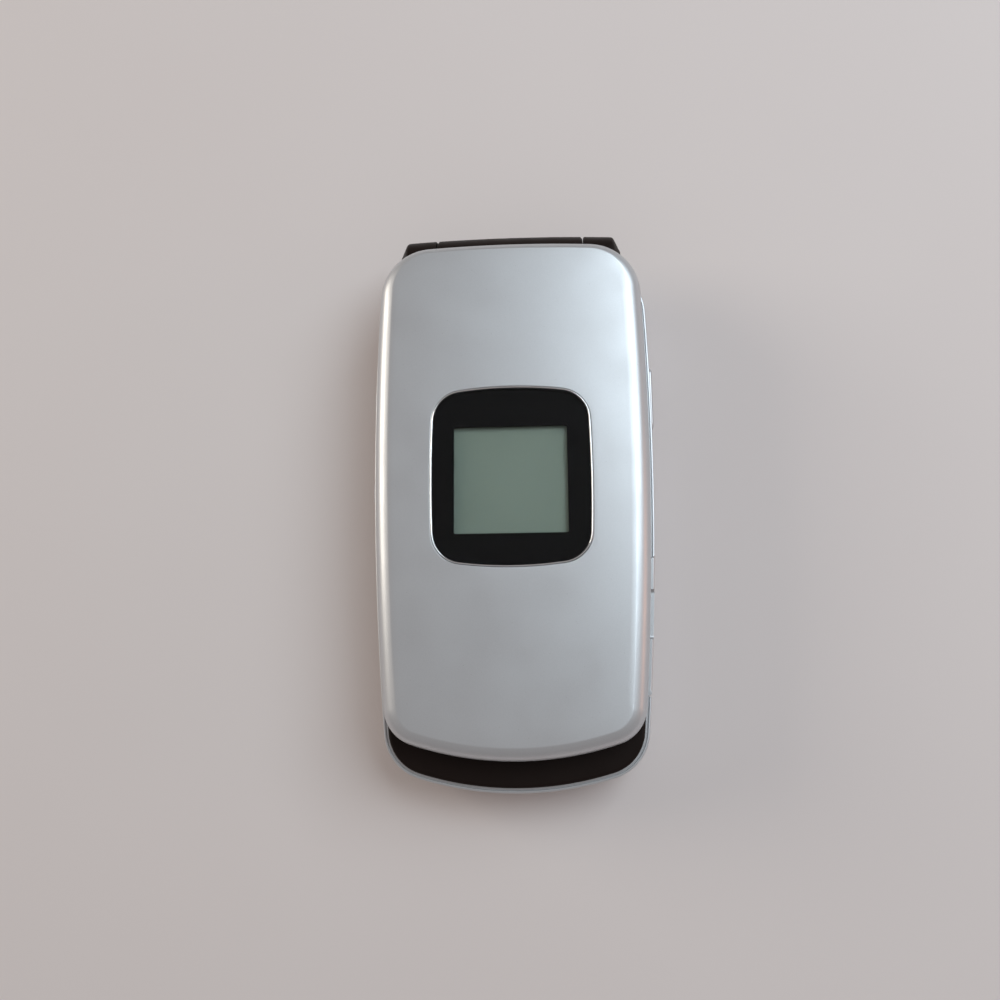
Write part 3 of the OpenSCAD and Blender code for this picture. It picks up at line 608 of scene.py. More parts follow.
def lid_cover():
    """The silver cover: a bowed face within a round rim, hollow, with a hole for the window."""
    hole, lip = -BEZEL_W - 0.05, 0.12
    lid, face, window = outline(LID), outline(FACE), outline(WINDOW, hole - lip)
    rings = [level(lid, z) for z in (FRAME_Z + 0.08, 13.4)]
    curve = [(0, RIM_FOOT_Z), (0, 17.2), (1.2, 17.75), (RIM_W, RIM_TOP_Z)]
    for i in range(RIM_STEPS + 1):
        inset, z = bezier(curve, i / RIM_STEPS)
        rise = (z - RIM_FOOT_Z) / (RIM_TOP_Z - RIM_FOOT_Z)
        rings.append([(p.x, p.y, RIM_FOOT_Z + rise * (crown_z(q.x) - RIM_FOOT_Z))
                      for p, q in zip(between(lid, face, inset / RIM_W), face)])
    for i in range(1, FACE_STEPS + 1):
        rings.append([(p.x, p.y, crown_z(p.x)) for p in between(face, window, i / FACE_STEPS)])
    for inset, z in fillet((hole - lip, 0), (hole, -lip), 3, -1)[1:]:
        rings.append([(p.x, p.y, z + crown_z(p.x)) for p in outline(WINDOW, inset)])
    room = (LID[0] - 2.4, WIDE_Y, SIDE_R - 1.2, LID[3] + 1.2, 53, 4.3, 36, 268, 6)
    room_top = (FACE[0] - 1, WIDE_Y, SIDE_R - 3, LID[3] + 3.6, 51, 3, 35, 268, 5)
    rings += [level(outline(o, inset), z) for o, inset, z in (
        (WINDOW, hole, 17.0), (WINDOW, 0.8, 17.0), (WINDOW, 0.8, 16.8), (room_top, 0, 16.75),
        (room, 0, 15.2), (room, 0, FRAME_Z), (LID, 0.08, FRAME_Z))]
    shell = loft(rings, ends=False)
    cut(shell, bar(-FAR, FAR, SWING_R),
        block(-KNUCKLE_X, KNUCKLE_X, 35, HINGE_Y, 12, LID_LOW + 3.8))
    piece("lid_shell", "lid", shell, SILVER, ["lid_cover"])


def window_pieces():
    """The bezel, the clear pane and the black mask behind it with the display's opening."""
    foot_z, head_z = 17.15, LID_Z - 0.12
    rim = [(-BEZEL_W, foot_z), (-BEZEL_W, head_z)]
    rim += fillet((-BEZEL_W, head_z), (-BEZEL_W / 2, LID_Z), 5)[1:]
    rim += fillet((-BEZEL_W / 2, LID_Z), (0, head_z), 5, -1)[1:]
    rim += [(0, foot_z)]
    piece("window_bezel", "lid", prism(plan(WINDOW), rim, ends=False), BRIGHT,
          ["outer_bezel"])
    pane = prism(plan(WINDOW), edged(17.98, LID_Z - 0.13, 0.05, 0.1, 0.03))
    piece("window_pane", "lid", pane, CLEAR, ["outer_window"])
    mask = prism(plan(WINDOW), edged(17.4, 17.96, 0.05, 0.02, 0.05))
    opening = prism(pill((0, 0), 18.75, 17.9, 0.3),
                    [(0, 17), (0, 17.9), (-0.06, 17.97), (-0.06, 18)])
    placed(opening, Matrix.Translation((-0.1, 2.7, 0)))
    piece("window_mask", "lid", cut(mask, opening), BLACK, ())


def barrel_r(x):
    """The radius of the hinge's barrel, which is crowned."""
    return BARREL_R - BARREL_CROWN * (x / BARREL_X) ** 2


def knuckle():
    """The lid's part of the barrel, with round ends."""
    steps, end_r = 28, 0.25
    section = []
    for i in range(steps + 1):
        x = -KNUCKLE_X + 2 * KNUCKLE_X * i / steps
        section.append((x, barrel_r(x)))
    first, last = section[0], section[-1]
    section[0] = (first[0] + end_r, first[1])
    section[-1] = (last[0] - end_r, last[1])
    turn = fillet((0, end_r), (end_r, 0), 4)
    head = [(first[0] + end_r - k, first[1] - end_r + m) for k, m in turn][:0:-1]
    tail = [(last[0] - end_r + k, last[1] - end_r + m) for k, m in turn][1:]
    return turned(head + section + tail)


def lid_frame():
    """The dark inner half of the lid, with its knuckle and the seats of what lies in it."""
    plate_shape = prism(plan(LID), edged(LID_LOW, FRAME_Z, 0.2, 0, 0.12))
    cut(plate_shape, bar(-FAR, FAR, SWING_R))
    neck = block(-KNUCKLE_X + 0.2, KNUCKLE_X - 0.2, 37.2, HINGE_Y, LID_LOW, LID_LOW + 3.6)
    fuse(plate_shape, knuckle(), neck)
    below = 11

    def seat(points, depth, lip=0.1):
        """A hole from the lid's inner face, with a broken edge."""
        return prism(points, [(-lip, below), (-lip, LID_LOW), (0, LID_LOW + lip),
                              (0, LID_LOW + depth)])

    cut(plate_shape, seat(pill((0, INNER_Y), 36.5, 52.6, 1.6), 0.8))
    cut(plate_shape, prism(pill((0, INNER_Y), 31.3, 46, 0.6), [(0, below), (0, FRAME_Z + 0.1)]))
    holes = [seat(disc(screw, 1.52, 32), FRAME_Z - 0.1 - LID_LOW)
             for screw in screw_places("lid_screws")]
    holes += [seat(pill((0, -35.9), 9.25, 2.45, 1.1), 0.5, 0.08),
              bar(1, FAR, 2.92), bar(-FAR, -2, 3.0)]
    cut(plate_shape, *holes)
    piece("lid_frame", "lid", plate_shape, DARK, ["lid_inner_frame"])


def screw_places(node):
    """The middle of each solid of a node that has at most one in every corner."""
    co = [v.co / MM for v in frame["nodes"][node].data.vertices]
    places = []
    for sx in (-1, 1):
        for sy in (-1, 1):
            mine = [c for c in co if c.x * sx > 0 and c.y * sy > 0]
            if mine:
                places.append([(min(c[i] for c in mine) + max(c[i] for c in mine)) / 2
                               for i in (0, 1)])
    return places


# ---- Base: housings ----

BASE_SCREWS = screw_places("base_screws")
PORT_Y = (CHIN_Y + 16, CHIN_Y + 38.5)
PORT_LOW, PORT_HIGH = 3.4, 9.84
PORT_T = 1  # the thickness of the port's cover
SIDE_KEY = (HINGE_Y - 24.55, 11.3)
ROCKER = (HINGE_Y - 32.35, 20.9)
SIDE_Z = (BASE_T - 5.6, BASE_T - 2.8)
SIDE_MID_Z, SIDE_H = (SIDE_Z[0] + SIDE_Z[1]) / 2, SIDE_Z[1] - SIDE_Z[0]
SIDE_KEY_R, ROCKER_R = 1.2, 1.3
BUMP_L = 4.6
SPEAKER_Y = HINGE_Y - 18.8
BAY_Y = (CHIN_Y + 11.8, HINGE_Y - 28.2)
COVER_Y = BAY_Y[1] + 1.4
COVER_X = HALF_W - 4.5
SEAT_Y = HINGE_Y - SWING_R - 1.7
MIC_Y = CHIN_Y + 6.4
PORT_PIVOT = (side_x(PORT_Y[0], 0.52), PORT_Y[0])
KEY_FLOOR_Z = 10.41  # the floor that the keys stand out of
HOUSING_Z = 9.6  # the foot of the front housing


def outer_foot(inset=0.0, steps=12):
    """Pairs round the edge of the back, up to where the sides stand straight."""
    return [(max(i, inset), z) for i, z in fillet((3, 0), (0, 4), steps, -1)]


def side_slot(place, r, way):
    """An opening through a side wall for a key of a middle and a length along the side."""
    gap = 0.15
    shape = prism(pill((place[0], SIDE_MID_Z), place[1] + 2 * gap, SIDE_H + 2 * gap, r + gap),
                  [(0, 21), (0, FAR)])
    return sideways(shape, way)


def side_room(x0, x1, y, half):
    """Room behind a side key, round its flange."""
    return block(x0, x1, y - half, y + half, SIDE_Z[0] - 0.6, SIDE_Z[1] + 0.6)


def rear_housing():
    """The silver back shell, with the openings for all that goes through it."""
    pairs = outer_foot() + fillet((0, LIP_Z - 0.24), (0.24, LIP_Z), 5)
    pairs += [(0.40, LIP_Z), (0.44, LIP_Z - 0.22), (0.60, LIP_Z - 0.22), (0.64, LIP_Z)]
    shell = prism(plan(BASE), pairs)
    room = keep(prism(plan(BASE), [(WALL, 6.5), (WALL, 20)]),
                block(-FAR, FAR, -FAR, SEAT_Y, 0, ABOVE))
    hinge_room = block(-FAR, FAR, COVER_Y + 1.3, HINGE_Y - 2, 0, HINGE_Z - SWING_R - 1.2)
    back_room = keep(prism(plan(BASE), [(2, 1.25), (2, 20)]),
                     fuse(block(-FAR, FAR, COVER_Y + 1.2, SEAT_Y, 0, ABOVE), hinge_room))
    chin_room = keep(prism(plan(BASE), [(1.7, 2.05), (1.7, 20)]),
                     block(-FAR, FAR, -FAR, BAY_Y[0] - 1.2, 0, ABOVE))
    cut(shell, room, back_room, chin_room)
    fuse(shell, *[prism(disc(p, 2.1, 32), [(0, 1.2), (0, 6.6)]) for p in BASE_SCREWS])
    port_wall = cut(keep(prism(plan(BASE), [(WALL - 0.1, 1.1), (WALL - 0.1, 9.58)]),
                         block(0, FAR, PORT_Y[0] - 2, PORT_Y[1] + 2, 0, ABOVE)),
                    prism(plan(BASE), [(1.9, 0), (1.9, 20)]))
    fuse(shell, port_wall)

    bay = block(-HALF_W + 7.5, HALF_W - 7.5, BAY_Y[0], BAY_Y[1], -1, 5.92)
    cover_seat = prism(pill((0, COVER_Y + 0.15 - FAR / 2), 2 * COVER_X + 0.3, FAR, 1.6),
                       [(0, -1), (0, 1.25)])
    grooves = block(-COVER_X - 0.95, COVER_X + 0.95, -FAR, COVER_Y - 6, 0.5, 1.25)
    tools = [bay, cover_seat, grooves, bar(-EAR_X - 0.1, EAR_X + 0.1, SWING_R + 0.1)]
    for seat in (block(EAR_X - 0.1, BARREL_X + 0.1, SEAT_Y - 0.5, FAR, BASE_T - 4.15, FAR),
                 bar(EAR_X - 0.1, BARREL_X + 0.1, BARREL_R + 0.05)):
        tools += [mirrored(seat), seat]
    for p in BASE_SCREWS:
        tools.append(prism(disc(p, 1.5, 32), [(-0.12, -1), (-0.12, 0), (0, 0.12), (0, 2.4)]))
        tools.append(prism(disc(p, 0.8, 24), [(0, 0), (0, 7)]))
    for i in range(-2, 3):
        tools.append(prism(pill((i * 1.8, SPEAKER_Y), 0.9, 7.2, 0.45),
                           [(-0.15, -1), (-0.15, -0.001), (0, 0.15), (0, 2)]))
    tools += [side_slot(SIDE_KEY, SIDE_KEY_R, 1), side_slot(ROCKER, ROCKER_R, -1),
              side_room(HALF_W - 2.65, HALF_W - 1.5, SIDE_KEY[0], SIDE_KEY[1] / 2 + 0.6),
              side_room(-HALF_W + 0.85, -HALF_W + 2.65, ROCKER[0], 2.9)]
    for tool in tools:
        cut(shell, tool)

    low_z, high_z = PORT_LOW - 0.1, 20
    recess = cut(block(0, FAR, PORT_Y[0], PORT_Y[1], low_z, high_z),
                 prism(plan(BASE), [(PORT_T + 0.05, -1), (PORT_T + 0.05, ABOVE)]))
    cut(shell, recess, prism(disc(PORT_PIVOT, 0.58, 32), [(0, low_z), (0, high_z)]))
    cut(shell, block(PORT_PIVOT[0], FAR, PORT_Y[0] - 0.7, PORT_Y[0] + 0.1, low_z, high_z))
    cut(shell, block(HALF_W - 6.8, 40, PORT_Y[0] + 3.5, PORT_Y[0] + 17.7, 3.9, 7.3))
    piece("back_shell", "base", shell, SILVER, ["rear_housing"])


def battery_cover():
    """The sliding cover over the battery, with finger grooves."""
    plate_shape = prism(pill((0, COVER_Y - FAR / 2), 2 * COVER_X, FAR, 1.5), [(0, -1), (0, 1.1)])
    tongues = block(-COVER_X - 0.8, COVER_X + 0.8, -FAR, COVER_Y - 6.2, 0.65, 1.1)
    cover = keep(prism(plan(BASE), outer_foot(0.02, 14)), fuse(plate_shape, tongues))
    for i in range(5):
        half = 6.5 - 0.12 * (i - 2) ** 2
        groove = prism(pill((0, 0), 2 * half, 0.8, 0.4),
                       [(-0.10, -1), (-0.10, 0), (0.12, 0.22), (0.3, 0.3)])
        cut(cover, placed(groove, Matrix.Translation((0, COVER_Y - 3.4 - 1.5 * i, 0))))
    piece("battery_door", "battery_cover", cover, SILVER, ["battery_cover"])


def port_cover():
    """The cover of the charging port, with a slot for a fingernail and its pivot."""
    strip = prism(plan(BASE), [(0.06, PORT_LOW), (0.02, 3.8), (0.02, 9.62), (0.24, PORT_HIGH)])
    keep(strip, block(0, FAR, PORT_Y[0], PORT_Y[1] - 0.1, 0, ABOVE))
    cut(strip, prism(plan(BASE), [(PORT_T, -1), (PORT_T, ABOVE)]))
    cut(strip, sideways(prism(pill((PORT_Y[0] + 12.85, 9.85), 8.3, 1.3, 0.6),
                              [(0, 15), (0, 40)]), 1))
    fuse(strip, prism(disc(PORT_PIVOT, 0.48, 32), [(0.05, PORT_LOW), (0, PORT_LOW + 0.05),
                                                   (0, PORT_HIGH - 0.04), (0.05, PORT_HIGH)]))
    piece("port_door", "port_cover", strip, SILVER, ["port_cover"])


def side_keys():
    """The side key, and the volume rocker with its two raised ends."""
    out, flat = HALF_W + PROUD - 0.01, HALF_W - 0.12

    def knob(y, l, r, foot, top, edge, run, steps):
        """A long knob along the side that stands out to top, with a round edge."""
        return prism(pill((y, SIDE_MID_Z), l, SIDE_H, r),
                     [(0, foot), (0, top - edge)]
                     + fillet((0, top - edge), (run, top), steps)[1:])

    def flange(y, l, r, x0, x1):
        return prism(pill((y, SIDE_MID_Z), l, SIDE_H + 0.8, r), [(0, x0), (0, x1)])

    mid, length = SIDE_KEY
    cap = knob(mid, length, SIDE_KEY_R, HALF_W - 1.8, out, 0.42, 0.5, 6)
    fuse(cap, flange(mid, length + 0.8, SIDE_KEY_R, HALF_W - 2.08, HALF_W - 1.68))
    piece("side_button", "side_key", sideways(cap, 1), SILVER, ["side_key"])
    mid, length = ROCKER
    rocker = knob(mid, length, ROCKER_R, HALF_W - 1.5, flat, 0.2, 0.25, 4)
    for way in (-1, 1):
        y = mid + way * (length - BUMP_L) / 2
        fuse(rocker, knob(y, BUMP_L, ROCKER_R, 23, out, 0.5, 1.0, 7))
    fuse(rocker, flange(mid, 5, 0.4, HALF_W - 1.95, HALF_W - 1.4))
    piece("volume_button", "volume_rocker", sideways(rocker, -1), SILVER, ["volume_rocker"])


def ear():
    """The base's part of the barrel on the right, with its chamfered end."""
    steps, end_r, bend = 10, 0.25, 0.4
    inner, outer = barrel_r(EAR_X), barrel_r(CHAMFER_X)
    section = [(EAR_X, inner - end_r)]
    section += fillet((EAR_X, inner - end_r), (EAR_X + end_r, inner), 4)[1:]
    for i in range(1, steps):
        x = EAR_X + end_r + (CHAMFER_X - bend - EAR_X - end_r) * i / steps
        section.append((x, barrel_r(x)))
    a, b, c = (Vector((CHAMFER_X - bend, outer + 0.01)), Vector((CHAMFER_X, outer)),
               Vector((CHAMFER_X + 0.3, outer - 0.6)))
    for i in range(6):
        t = i / 5
        q = a * (1 - t) ** 2 + b * 2 * t * (1 - t) + c * t * t
        section.append((q.x, q.y))
    section += [(BARREL_X - 0.25, outer - 2.1), (BARREL_X - 0.08, outer - 2.35),
                (BARREL_X, outer - 2.6)]
    return turned(section)


def front_housing():
    """The dark face of the base with both ears, and the wells of the keys."""
    edge = fillet((0.9, BASE_T - 0.55), (1.5, BASE_T), 7)
    shell = prism(plan(BASE), [(WALL + 0.05, HOUSING_Z), (WALL + 0.05, LIP_Z + 0.03),
                               (0.9, LIP_Z + 0.03)] + edge)
    keep(shell, fuse(block(-FAR, FAR, -FAR, SEAT_Y - 0.05, 0, ABOVE),
                     prism(plan(BASE), [(0.9, LIP_Z + 0.01), (0.9, ABOVE)])))
    cut(shell, bar(-EAR_X, EAR_X, SWING_R + 0.1))
    cut(shell, block(-EAR_X, EAR_X, HINGE_Y - 3, FAR, 0, 40))
    arm = ear()
    foot = keep(prism(plan(BASE), [(0.1, BASE_T - 4.1), (0.1, BASE_T)]),
                block(EAR_X, BARREL_X - 0.1, SEAT_Y - 0.05, HINGE_Y - 0.8, 0, ABOVE))
    fuse(arm, foot)
    other = mirrored(arm)
    cut(arm, bar(EAR_X - 1, CHAMFER_X + 0.3, 1.6))
    cut(other, bar(-CHAMFER_X, 1 - EAR_X, 2.95))
    fuse(shell, arm)
    fuse(shell, other)
    fuse(shell, *[prism(disc(p, 1.8, 32), [(0, 3.1), (0, 9.8)]) for p in BASE_SCREWS])
    cut(shell, prism(plan(PAD), [(0.06, KEY_FLOOR_Z - 0.01), (0, KEY_FLOOR_Z + 0.05),
                                 (0, BASE_T - 0.16), (-0.16, BASE_T + 0.001),
                                 (-0.16, BASE_T + 1)]))
    well = [(0, 5), (0, KEY_FLOOR_Z - 0.13), (-0.13, KEY_FLOOR_Z), (-0.13, 20)]
    for centre, w, l in KEYS.values():
        cut(shell, prism(pill(centre, w + 0.3, l + 0.3, 1.95), well))
    cut(shell, prism(disc(NAV, NAV_R + 0.15), well))
    cut(shell, prism(disc((0, MIC_Y), 0.6, 32), [(0, 5), (0, BASE_T - 0.15),
                                                 (-0.15, BASE_T + 0.001), (-0.15, 20)]))
    cut(shell, *[prism(disc(p, 0.7, 24), [(0, 0), (0, 7.8)]) for p in BASE_SCREWS])
    piece("front_shell", "base", shell, DARK, ["front_housing"])


# ---- Keys ----

PAD_KEYS = ["key_%s" % k for k in [*"123456789", "star", "0", "hash"]]
PAD_KEYS += ["soft_key_left", "soft_key_right", "send_key", "end_key", "clear_key"]
FLANGE_W = 0.3
NAV_R = 8.4


def middle(node):
    """The middle of a node, seen from above."""
    c = (low(node) + high(node)) / 2
    return (c.x, c.y)


KEYS = {n: (middle(n), high(n).x - low(n).x - 2 * FLANGE_W, high(n).y - low(n).y - 2 * FLANGE_W)
        for n in PAD_KEYS}
NAV = middle("nav_ring")
KEY_Z = high("key_5").z
FLANGE_Z = high("keypad_mat").z
DIGITS = {"key_1": ("1", ""), "key_2": ("2", "abc"), "key_3": ("3", "def"),
          "key_4": ("4", "ghi"), "key_5": ("5", "jkl"), "key_6": ("6", "mno"),
          "key_7": ("7", "pqrs"), "key_8": ("8", "tuv"), "key_9": ("9", "wxyz"),
          "key_star": ("*", ""), "key_0": ("0", "+"), "key_hash": ("#", "")}
DIGIT_SIZE, STAR_SIZE, LETTER_SIZE = 4.2, 5.2, 2.3
LAY_STEP = 0.4  # how finely a sign is cut up to follow a domed key


def lettering(text, size, x, y, bold=0.0):
    """Letters as a thin closed shape round a level of 0, with their middle at x, y."""
    curve = bpy.data.curves.new("letters", "FONT")
    curve.body = text
    curve.size = size
    curve.extrude = 0.01
    curve.offset = bold
    curve.resolution_u = 4
    curve.align_x = "CENTER"
    obj = bpy.data.objects.new("letters", curve)
    bpy.context.scene.collection.objects.link(obj)
    bpy.context.view_layer.update()
    solid = obj.evaluated_get(bpy.context.evaluated_depsgraph_get())
    mesh = bpy.data.meshes.new_from_object(solid)
    bpy.data.objects.remove(obj)
    with edited(mesh) as bm:
        bmesh.ops.remove_doubles(bm, verts=bm.verts, dist=0.0005)
        bmesh.ops.recalc_face_normals(bm, faces=bm.faces)
        ys = [v.co.y for v in bm.verts]
    mesh.transform(Matrix.Translation((x, y - (min(ys) + max(ys)) / 2, 0)))
    return shown(mesh)


def plate(points, half=0.01):
    """A thin closed shape from the points of one outline."""
    return prism(lambda inset: [Vector(p) for p in points], [(0, -half), (0, half)])


def handset(x, y, size, turn):
    """The sign of a telephone's handset."""
    drop = 0.72 * math.cos(math.radians(turn))

    def at(r, *degrees):
        """Places at a distance and at some directions from the sign's middle."""
        turns = [math.radians(d + turn) for d in degrees]
        return [(x + size * r * math.cos(t), y + size * (r * math.sin(t) - drop)) for t in turns]

    outer = at(1.25, *range(32, 149, 9))
    left = at(1.22, 150) + at(0.86, 158) + at(0.80, 152, 132) + at(0.90, 127)
    inner = at(0.92, *range(124, 55, -9))
    right = at(0.90, 53) + at(0.80, 48, 28) + at(0.86, 22) + at(1.22, 30)
    return plate(outer + left + inner + right)


def laid_on(shape, surface):
    """Lays a thin shape on the top of a surface, half sunk into it."""
    with edited(shape.data) as bm:
        for axis in (0, 1):
            places = [v.co[axis] for v in bm.verts]
            for i in range(1, math.ceil((max(places) - min(places)) / LAY_STEP)):
                co, no = Vector((0, 0, 0)), Vector((0, 0, 0))
                co[axis], no[axis] = min(places) + LAY_STEP * i, 1
                bmesh.ops.bisect_plane(bm, geom=bm.verts[:] + bm.edges[:] + bm.faces[:],
                                       plane_co=co, plane_no=no, dist=0.0001)
    tree = BVHTree.FromPolygons([v.co for v in surface.data.vertices],
                                [tuple(p.vertices) for p in surface.data.polygons])
    for v in shape.data.vertices:
        hit = tree.ray_cast(Vector((v.co.x, v.co.y, ABOVE)), Vector((0, 0, -1)))[0]
        v.co.z += hit.z
    return shape


def crown(rise_from, top, width):
    """Pairs over a key's gently domed top."""
    pairs = fillet((0, rise_from), (0.34, top - 0.14), 5)
    for i in range(1, 7):
        k = i / 6
        pairs.append((0.34 + (width - 0.4) * k, top - 0.14 + 0.13 * (1 - (1 - k) ** 2)))
    return pairs


def key_marks(name, x, y):
    """The signs on a key, and their ink."""
    if name in DIGITS:
        digit, letters = DIGITS[name]
        if letters:
            return [lettering(digit, DIGIT_SIZE, x - 2.3, y, 0.05),
                    lettering(letters, LETTER_SIZE, x + 1.9, y - 0.1, 0.02)], INK
        size = STAR_SIZE if digit == "*" else DIGIT_SIZE
        return [lettering(digit, size, x, y, 0.05)], INK
    if name.startswith("soft"):
        return [plate([(x - 1.5, y - 0.25), (x + 1.5, y - 0.25),
                       (x + 1.5, y + 0.25), (x - 1.5, y + 0.25)])], INK
    if name == "send_key":
        return [handset(x, y, 1.9, 0)], GREEN_INK
    if name == "end_key":
        return [handset(x, y, 1.9, 180)], RED_INK
    return [lettering("C", 3.6, x, y, 0.05)], INK


def pad_keys():
    """The keys with their signs, all but the navigation ring and the key within it."""
    flange = [(-FLANGE_W, low("key_5").z), (-FLANGE_W, FLANGE_Z), (0, FLANGE_Z)]
    for name, (centre, w, l) in KEYS.items():
        cap = prism(pill(centre, w, l, 1.8, 7), flange + crown(KEY_Z - 0.42, KEY_Z, l / 2 - 0.25))
        marks, ink = key_marks(name, *centre)
        inked = joined(*[laid_on(m, cap) for m in marks])
        piece(name + "_cap", name, joined(cap, inked), [KEY, ink], [name])


def nav_keys():
    """The navigation ring with its four arrows, and the OK key within it."""
    wide = NAV_R - 4.05
    foot_z = low("nav_ring").z
    pairs = [(-FLANGE_W, foot_z), (-FLANGE_W, FLANGE_Z), (0, FLANGE_Z)]
    pairs += fillet((0, KEY_Z - 0.5), (0.5, KEY_Z - 0.12), 5)
    for i in range(1, 9):
        k = i / 9
        bulge = 0.11 * math.sin(math.pi * (0.35 + 0.65 * k))
        pairs.append((0.5 + (wide - 0.85) * k, KEY_Z - 0.12 + bulge))
    pairs += fillet((wide - 0.3, KEY_Z - 0.22), (wide, KEY_Z - 0.45), 4, -1)[1:]
    pairs.append((wide, foot_z))
    ring = prism(disc(NAV, NAV_R, 96), pairs, ends=False)
    marks = []
    for t in (0, 90, 180, 270):
        a = math.radians(t)
        u, v = Vector((math.cos(a), math.sin(a))), Vector((-math.sin(a), math.cos(a)))
        c = Vector(NAV) + u * 6.35
        arrow = plate([c + u * 0.62, c - u * 0.38 + v * 0.8, c - u * 0.38 - v * 0.8])
        marks.append(laid_on(arrow, ring))
    piece("nav_ring_cap", "nav_ring", joined(ring, joined(*marks)), [KEY, INK], ["nav_ring"])
    ok_z = high("ok_key").z
    ok = prism(disc(NAV, 3.9), [(0, low("ok_key").z), (0, ok_z - 0.42)]
               + crown(ok_z - 0.42, ok_z, 3.6)[1:])
    mark = laid_on(lettering("OK", 2.6, *NAV, 0.04), ok)
    piece("ok_key_cap", "ok_key", joined(ok, mark), [KEY, INK], ["ok_key"])


# ---- Small pieces ----

BUMPER = (HALF_W - 9.2, CHIN_Y + 5.5 + 3.4)
SCREW_R = 1.4
THREAD_R = 0.7
PITCH = 0.44


def screw(place, low_z, head_h, high_z):
    """A screw whose head lies at the low end, with a thread and a cross recess."""
    head_z, shank = low_z + head_h, SCREW_R - THREAD_R
    pairs = fillet((0.35, low_z), (0, low_z + 0.25), 4, -1) + [(0, head_z), (shank, head_z)]
    z, i = head_z + 0.3, 0
    while z < high_z - 0.45:
        pairs.append((shank + (0.10 if i % 2 else 0), z))
        z += PITCH / 2
        i += 1
    pairs += [(shank + 0.05, high_z - 0.25), (shank + 0.35, high_z)]
    made = prism(disc(place, SCREW_R, 28), pairs)
    for turn in (0, 90):
        arm = prism(pill((0, 0), 1.7, 0.34, 0.1, 3),
                    [(0, low_z - 1), (0, low_z), (0.09, low_z + 0.4)])
        cut(made, placed(arm, Matrix.Rotation(math.radians(turn + 20), 4, "Z"),
                         Matrix.Translation((*place, 0))))
    return made


def plug(place, r, node, edge, top=((0, 0),)):
    """A round plug as high as its node, with an edge of a run, a rise and steps at its foot."""
    run, rise, steps = edge
    foot_z, head_z = low(node).z, high(node).z
    pairs = fillet((run, foot_z), (0, foot_z + rise), steps, -1)
    return prism(disc(place, r, 40), pairs + [(inset, head_z - down) for inset, down in top])


def screws_and_plugs():
    """The screws, the plugs over them and the bumpers of the lid."""
    for body, node, head_h in (("base", "base_screws", 0.8), ("lid", "lid_screws", 0.7)):
        made = [screw(p, low(node).z, head_h, high(node).z) for p in screw_places(node)]
        piece(body + "_screw_set", body, joined_same(made), STEEL, [node])
    node = "base_screw_plugs"
    made = [plug(p, 1.48, node, (0.5, 0.3, 5), ((0, 0.1), (0.1, 0))) for p in screw_places(node)]
    piece("base_plug_set", "base", joined_same(made), RUBBER, [node])
    node = "lid_screw_plugs"
    made = [plug(p, 1.48, node, (0.45, 0.25, 5)) for p in screw_places(node)]
    piece("lid_plug_set", "lid", joined_same(made), RUBBER, [node])
    node = "lid_bumpers"
    made = [plug((sign * (BUMPER[0] - 0.1), BUMPER[1] + 0.35), 1.1, node, (0.9, 0.35, 8))
            for sign in (-1, 1)]
    piece("bumper_pair", "lid", joined_same(made), RUBBER, [node])


def joined_same(shapes):
    """Several shapes in one mesh that share one material."""
    made = joined(*shapes)
    for polygon in made.data.polygons:
        polygon.material_index = 0
    return made


def inner_pane():
    """The window over the inner display: a clear pane with a black border printed behind it."""
    a, b = low("inner_window"), high("inner_window")
    centre, w, l = ((a.x + b.x) / 2, (a.y + b.y) / 2), b.x - a.x, b.y - a.y
    pane = prism(pill(centre, w, l, 1.5), edged(a.z, a.z + 0.36, 0.08, 0.02))
    piece("inner_pane", "lid", pane, CLEAR, ["inner_window"])
    border = prism(pill(centre, w, l, 1.5), edged(a.z + 0.38, b.z, 0.02, 0.05, 0.02))
    cut(border, prism(pill((0, INNER_Y), 30.9, 45.6, 0.5), [(0, 10), (0, 14)]))
    piece("inner_border", "lid", border, BLACK, ())


def grille():
    """The cover of the earpiece, with a row of slots."""
    a, b = low("earpiece_grille"), high("earpiece_grille")
    y = (a.y + b.y) / 2
    cover = prism(pill((0, y), b.x - a.x, b.y - a.y, 1.0), edged(a.z, b.z, 0.12, 0.05))
    for i in range(-4, 5):
        cut(cover, prism(pill((i * 0.9, y), 0.4, 1.2, 0.19, 4),
                         [(-0.06, a.z - 1), (-0.06, a.z), (0, a.z + 0.06), (0, b.z + 1)]))
    piece("earpiece_cover", "lid", cover, TIN, ["earpiece_grille"])


def battery():
    """The battery: a wrapped can with a plain label and its three contact pads."""
    a, b = low("battery_pack"), high("battery_pack")
    centre = ((a.x + b.x) / 2, (a.y + b.y) / 2)
    can = prism(pill(centre, b.x - a.x, b.y - a.y, 1.6), edged(a.z + 0.03, b.z, 0.9, 0.9, 0.0, 6))
    cut(can, prism(pill((0, a.y - 0.4), 9, 1.6, 0.4), [(0, a.z - 1), (0, a.z + 0.5)]))
    label = prism(pill((0, centre[1] - 1.5), b.x - a.x - 5, b.y - a.y - 12, 1.2),
                  [(0.03, a.z), (0, a.z + 0.02), (0, a.z + 0.1)])
    pads = []
    for i in (-1, 0, 1):
        pad = prism(pill((i * 2.2, 0), 1.3, 2.0, 0.2), [(0, -0.05), (0, 0.05)])
        pads.append(placed(pad, Matrix.Rotation(math.radians(90), 4, "X"),
                           Matrix.Translation((0, b.y - 0.06, (a.z + b.z) / 2))))
    piece("battery_can", "base", joined(can, label, joined_same(pads)), [CELL, LABEL, GOLD],
          ["battery_pack"])


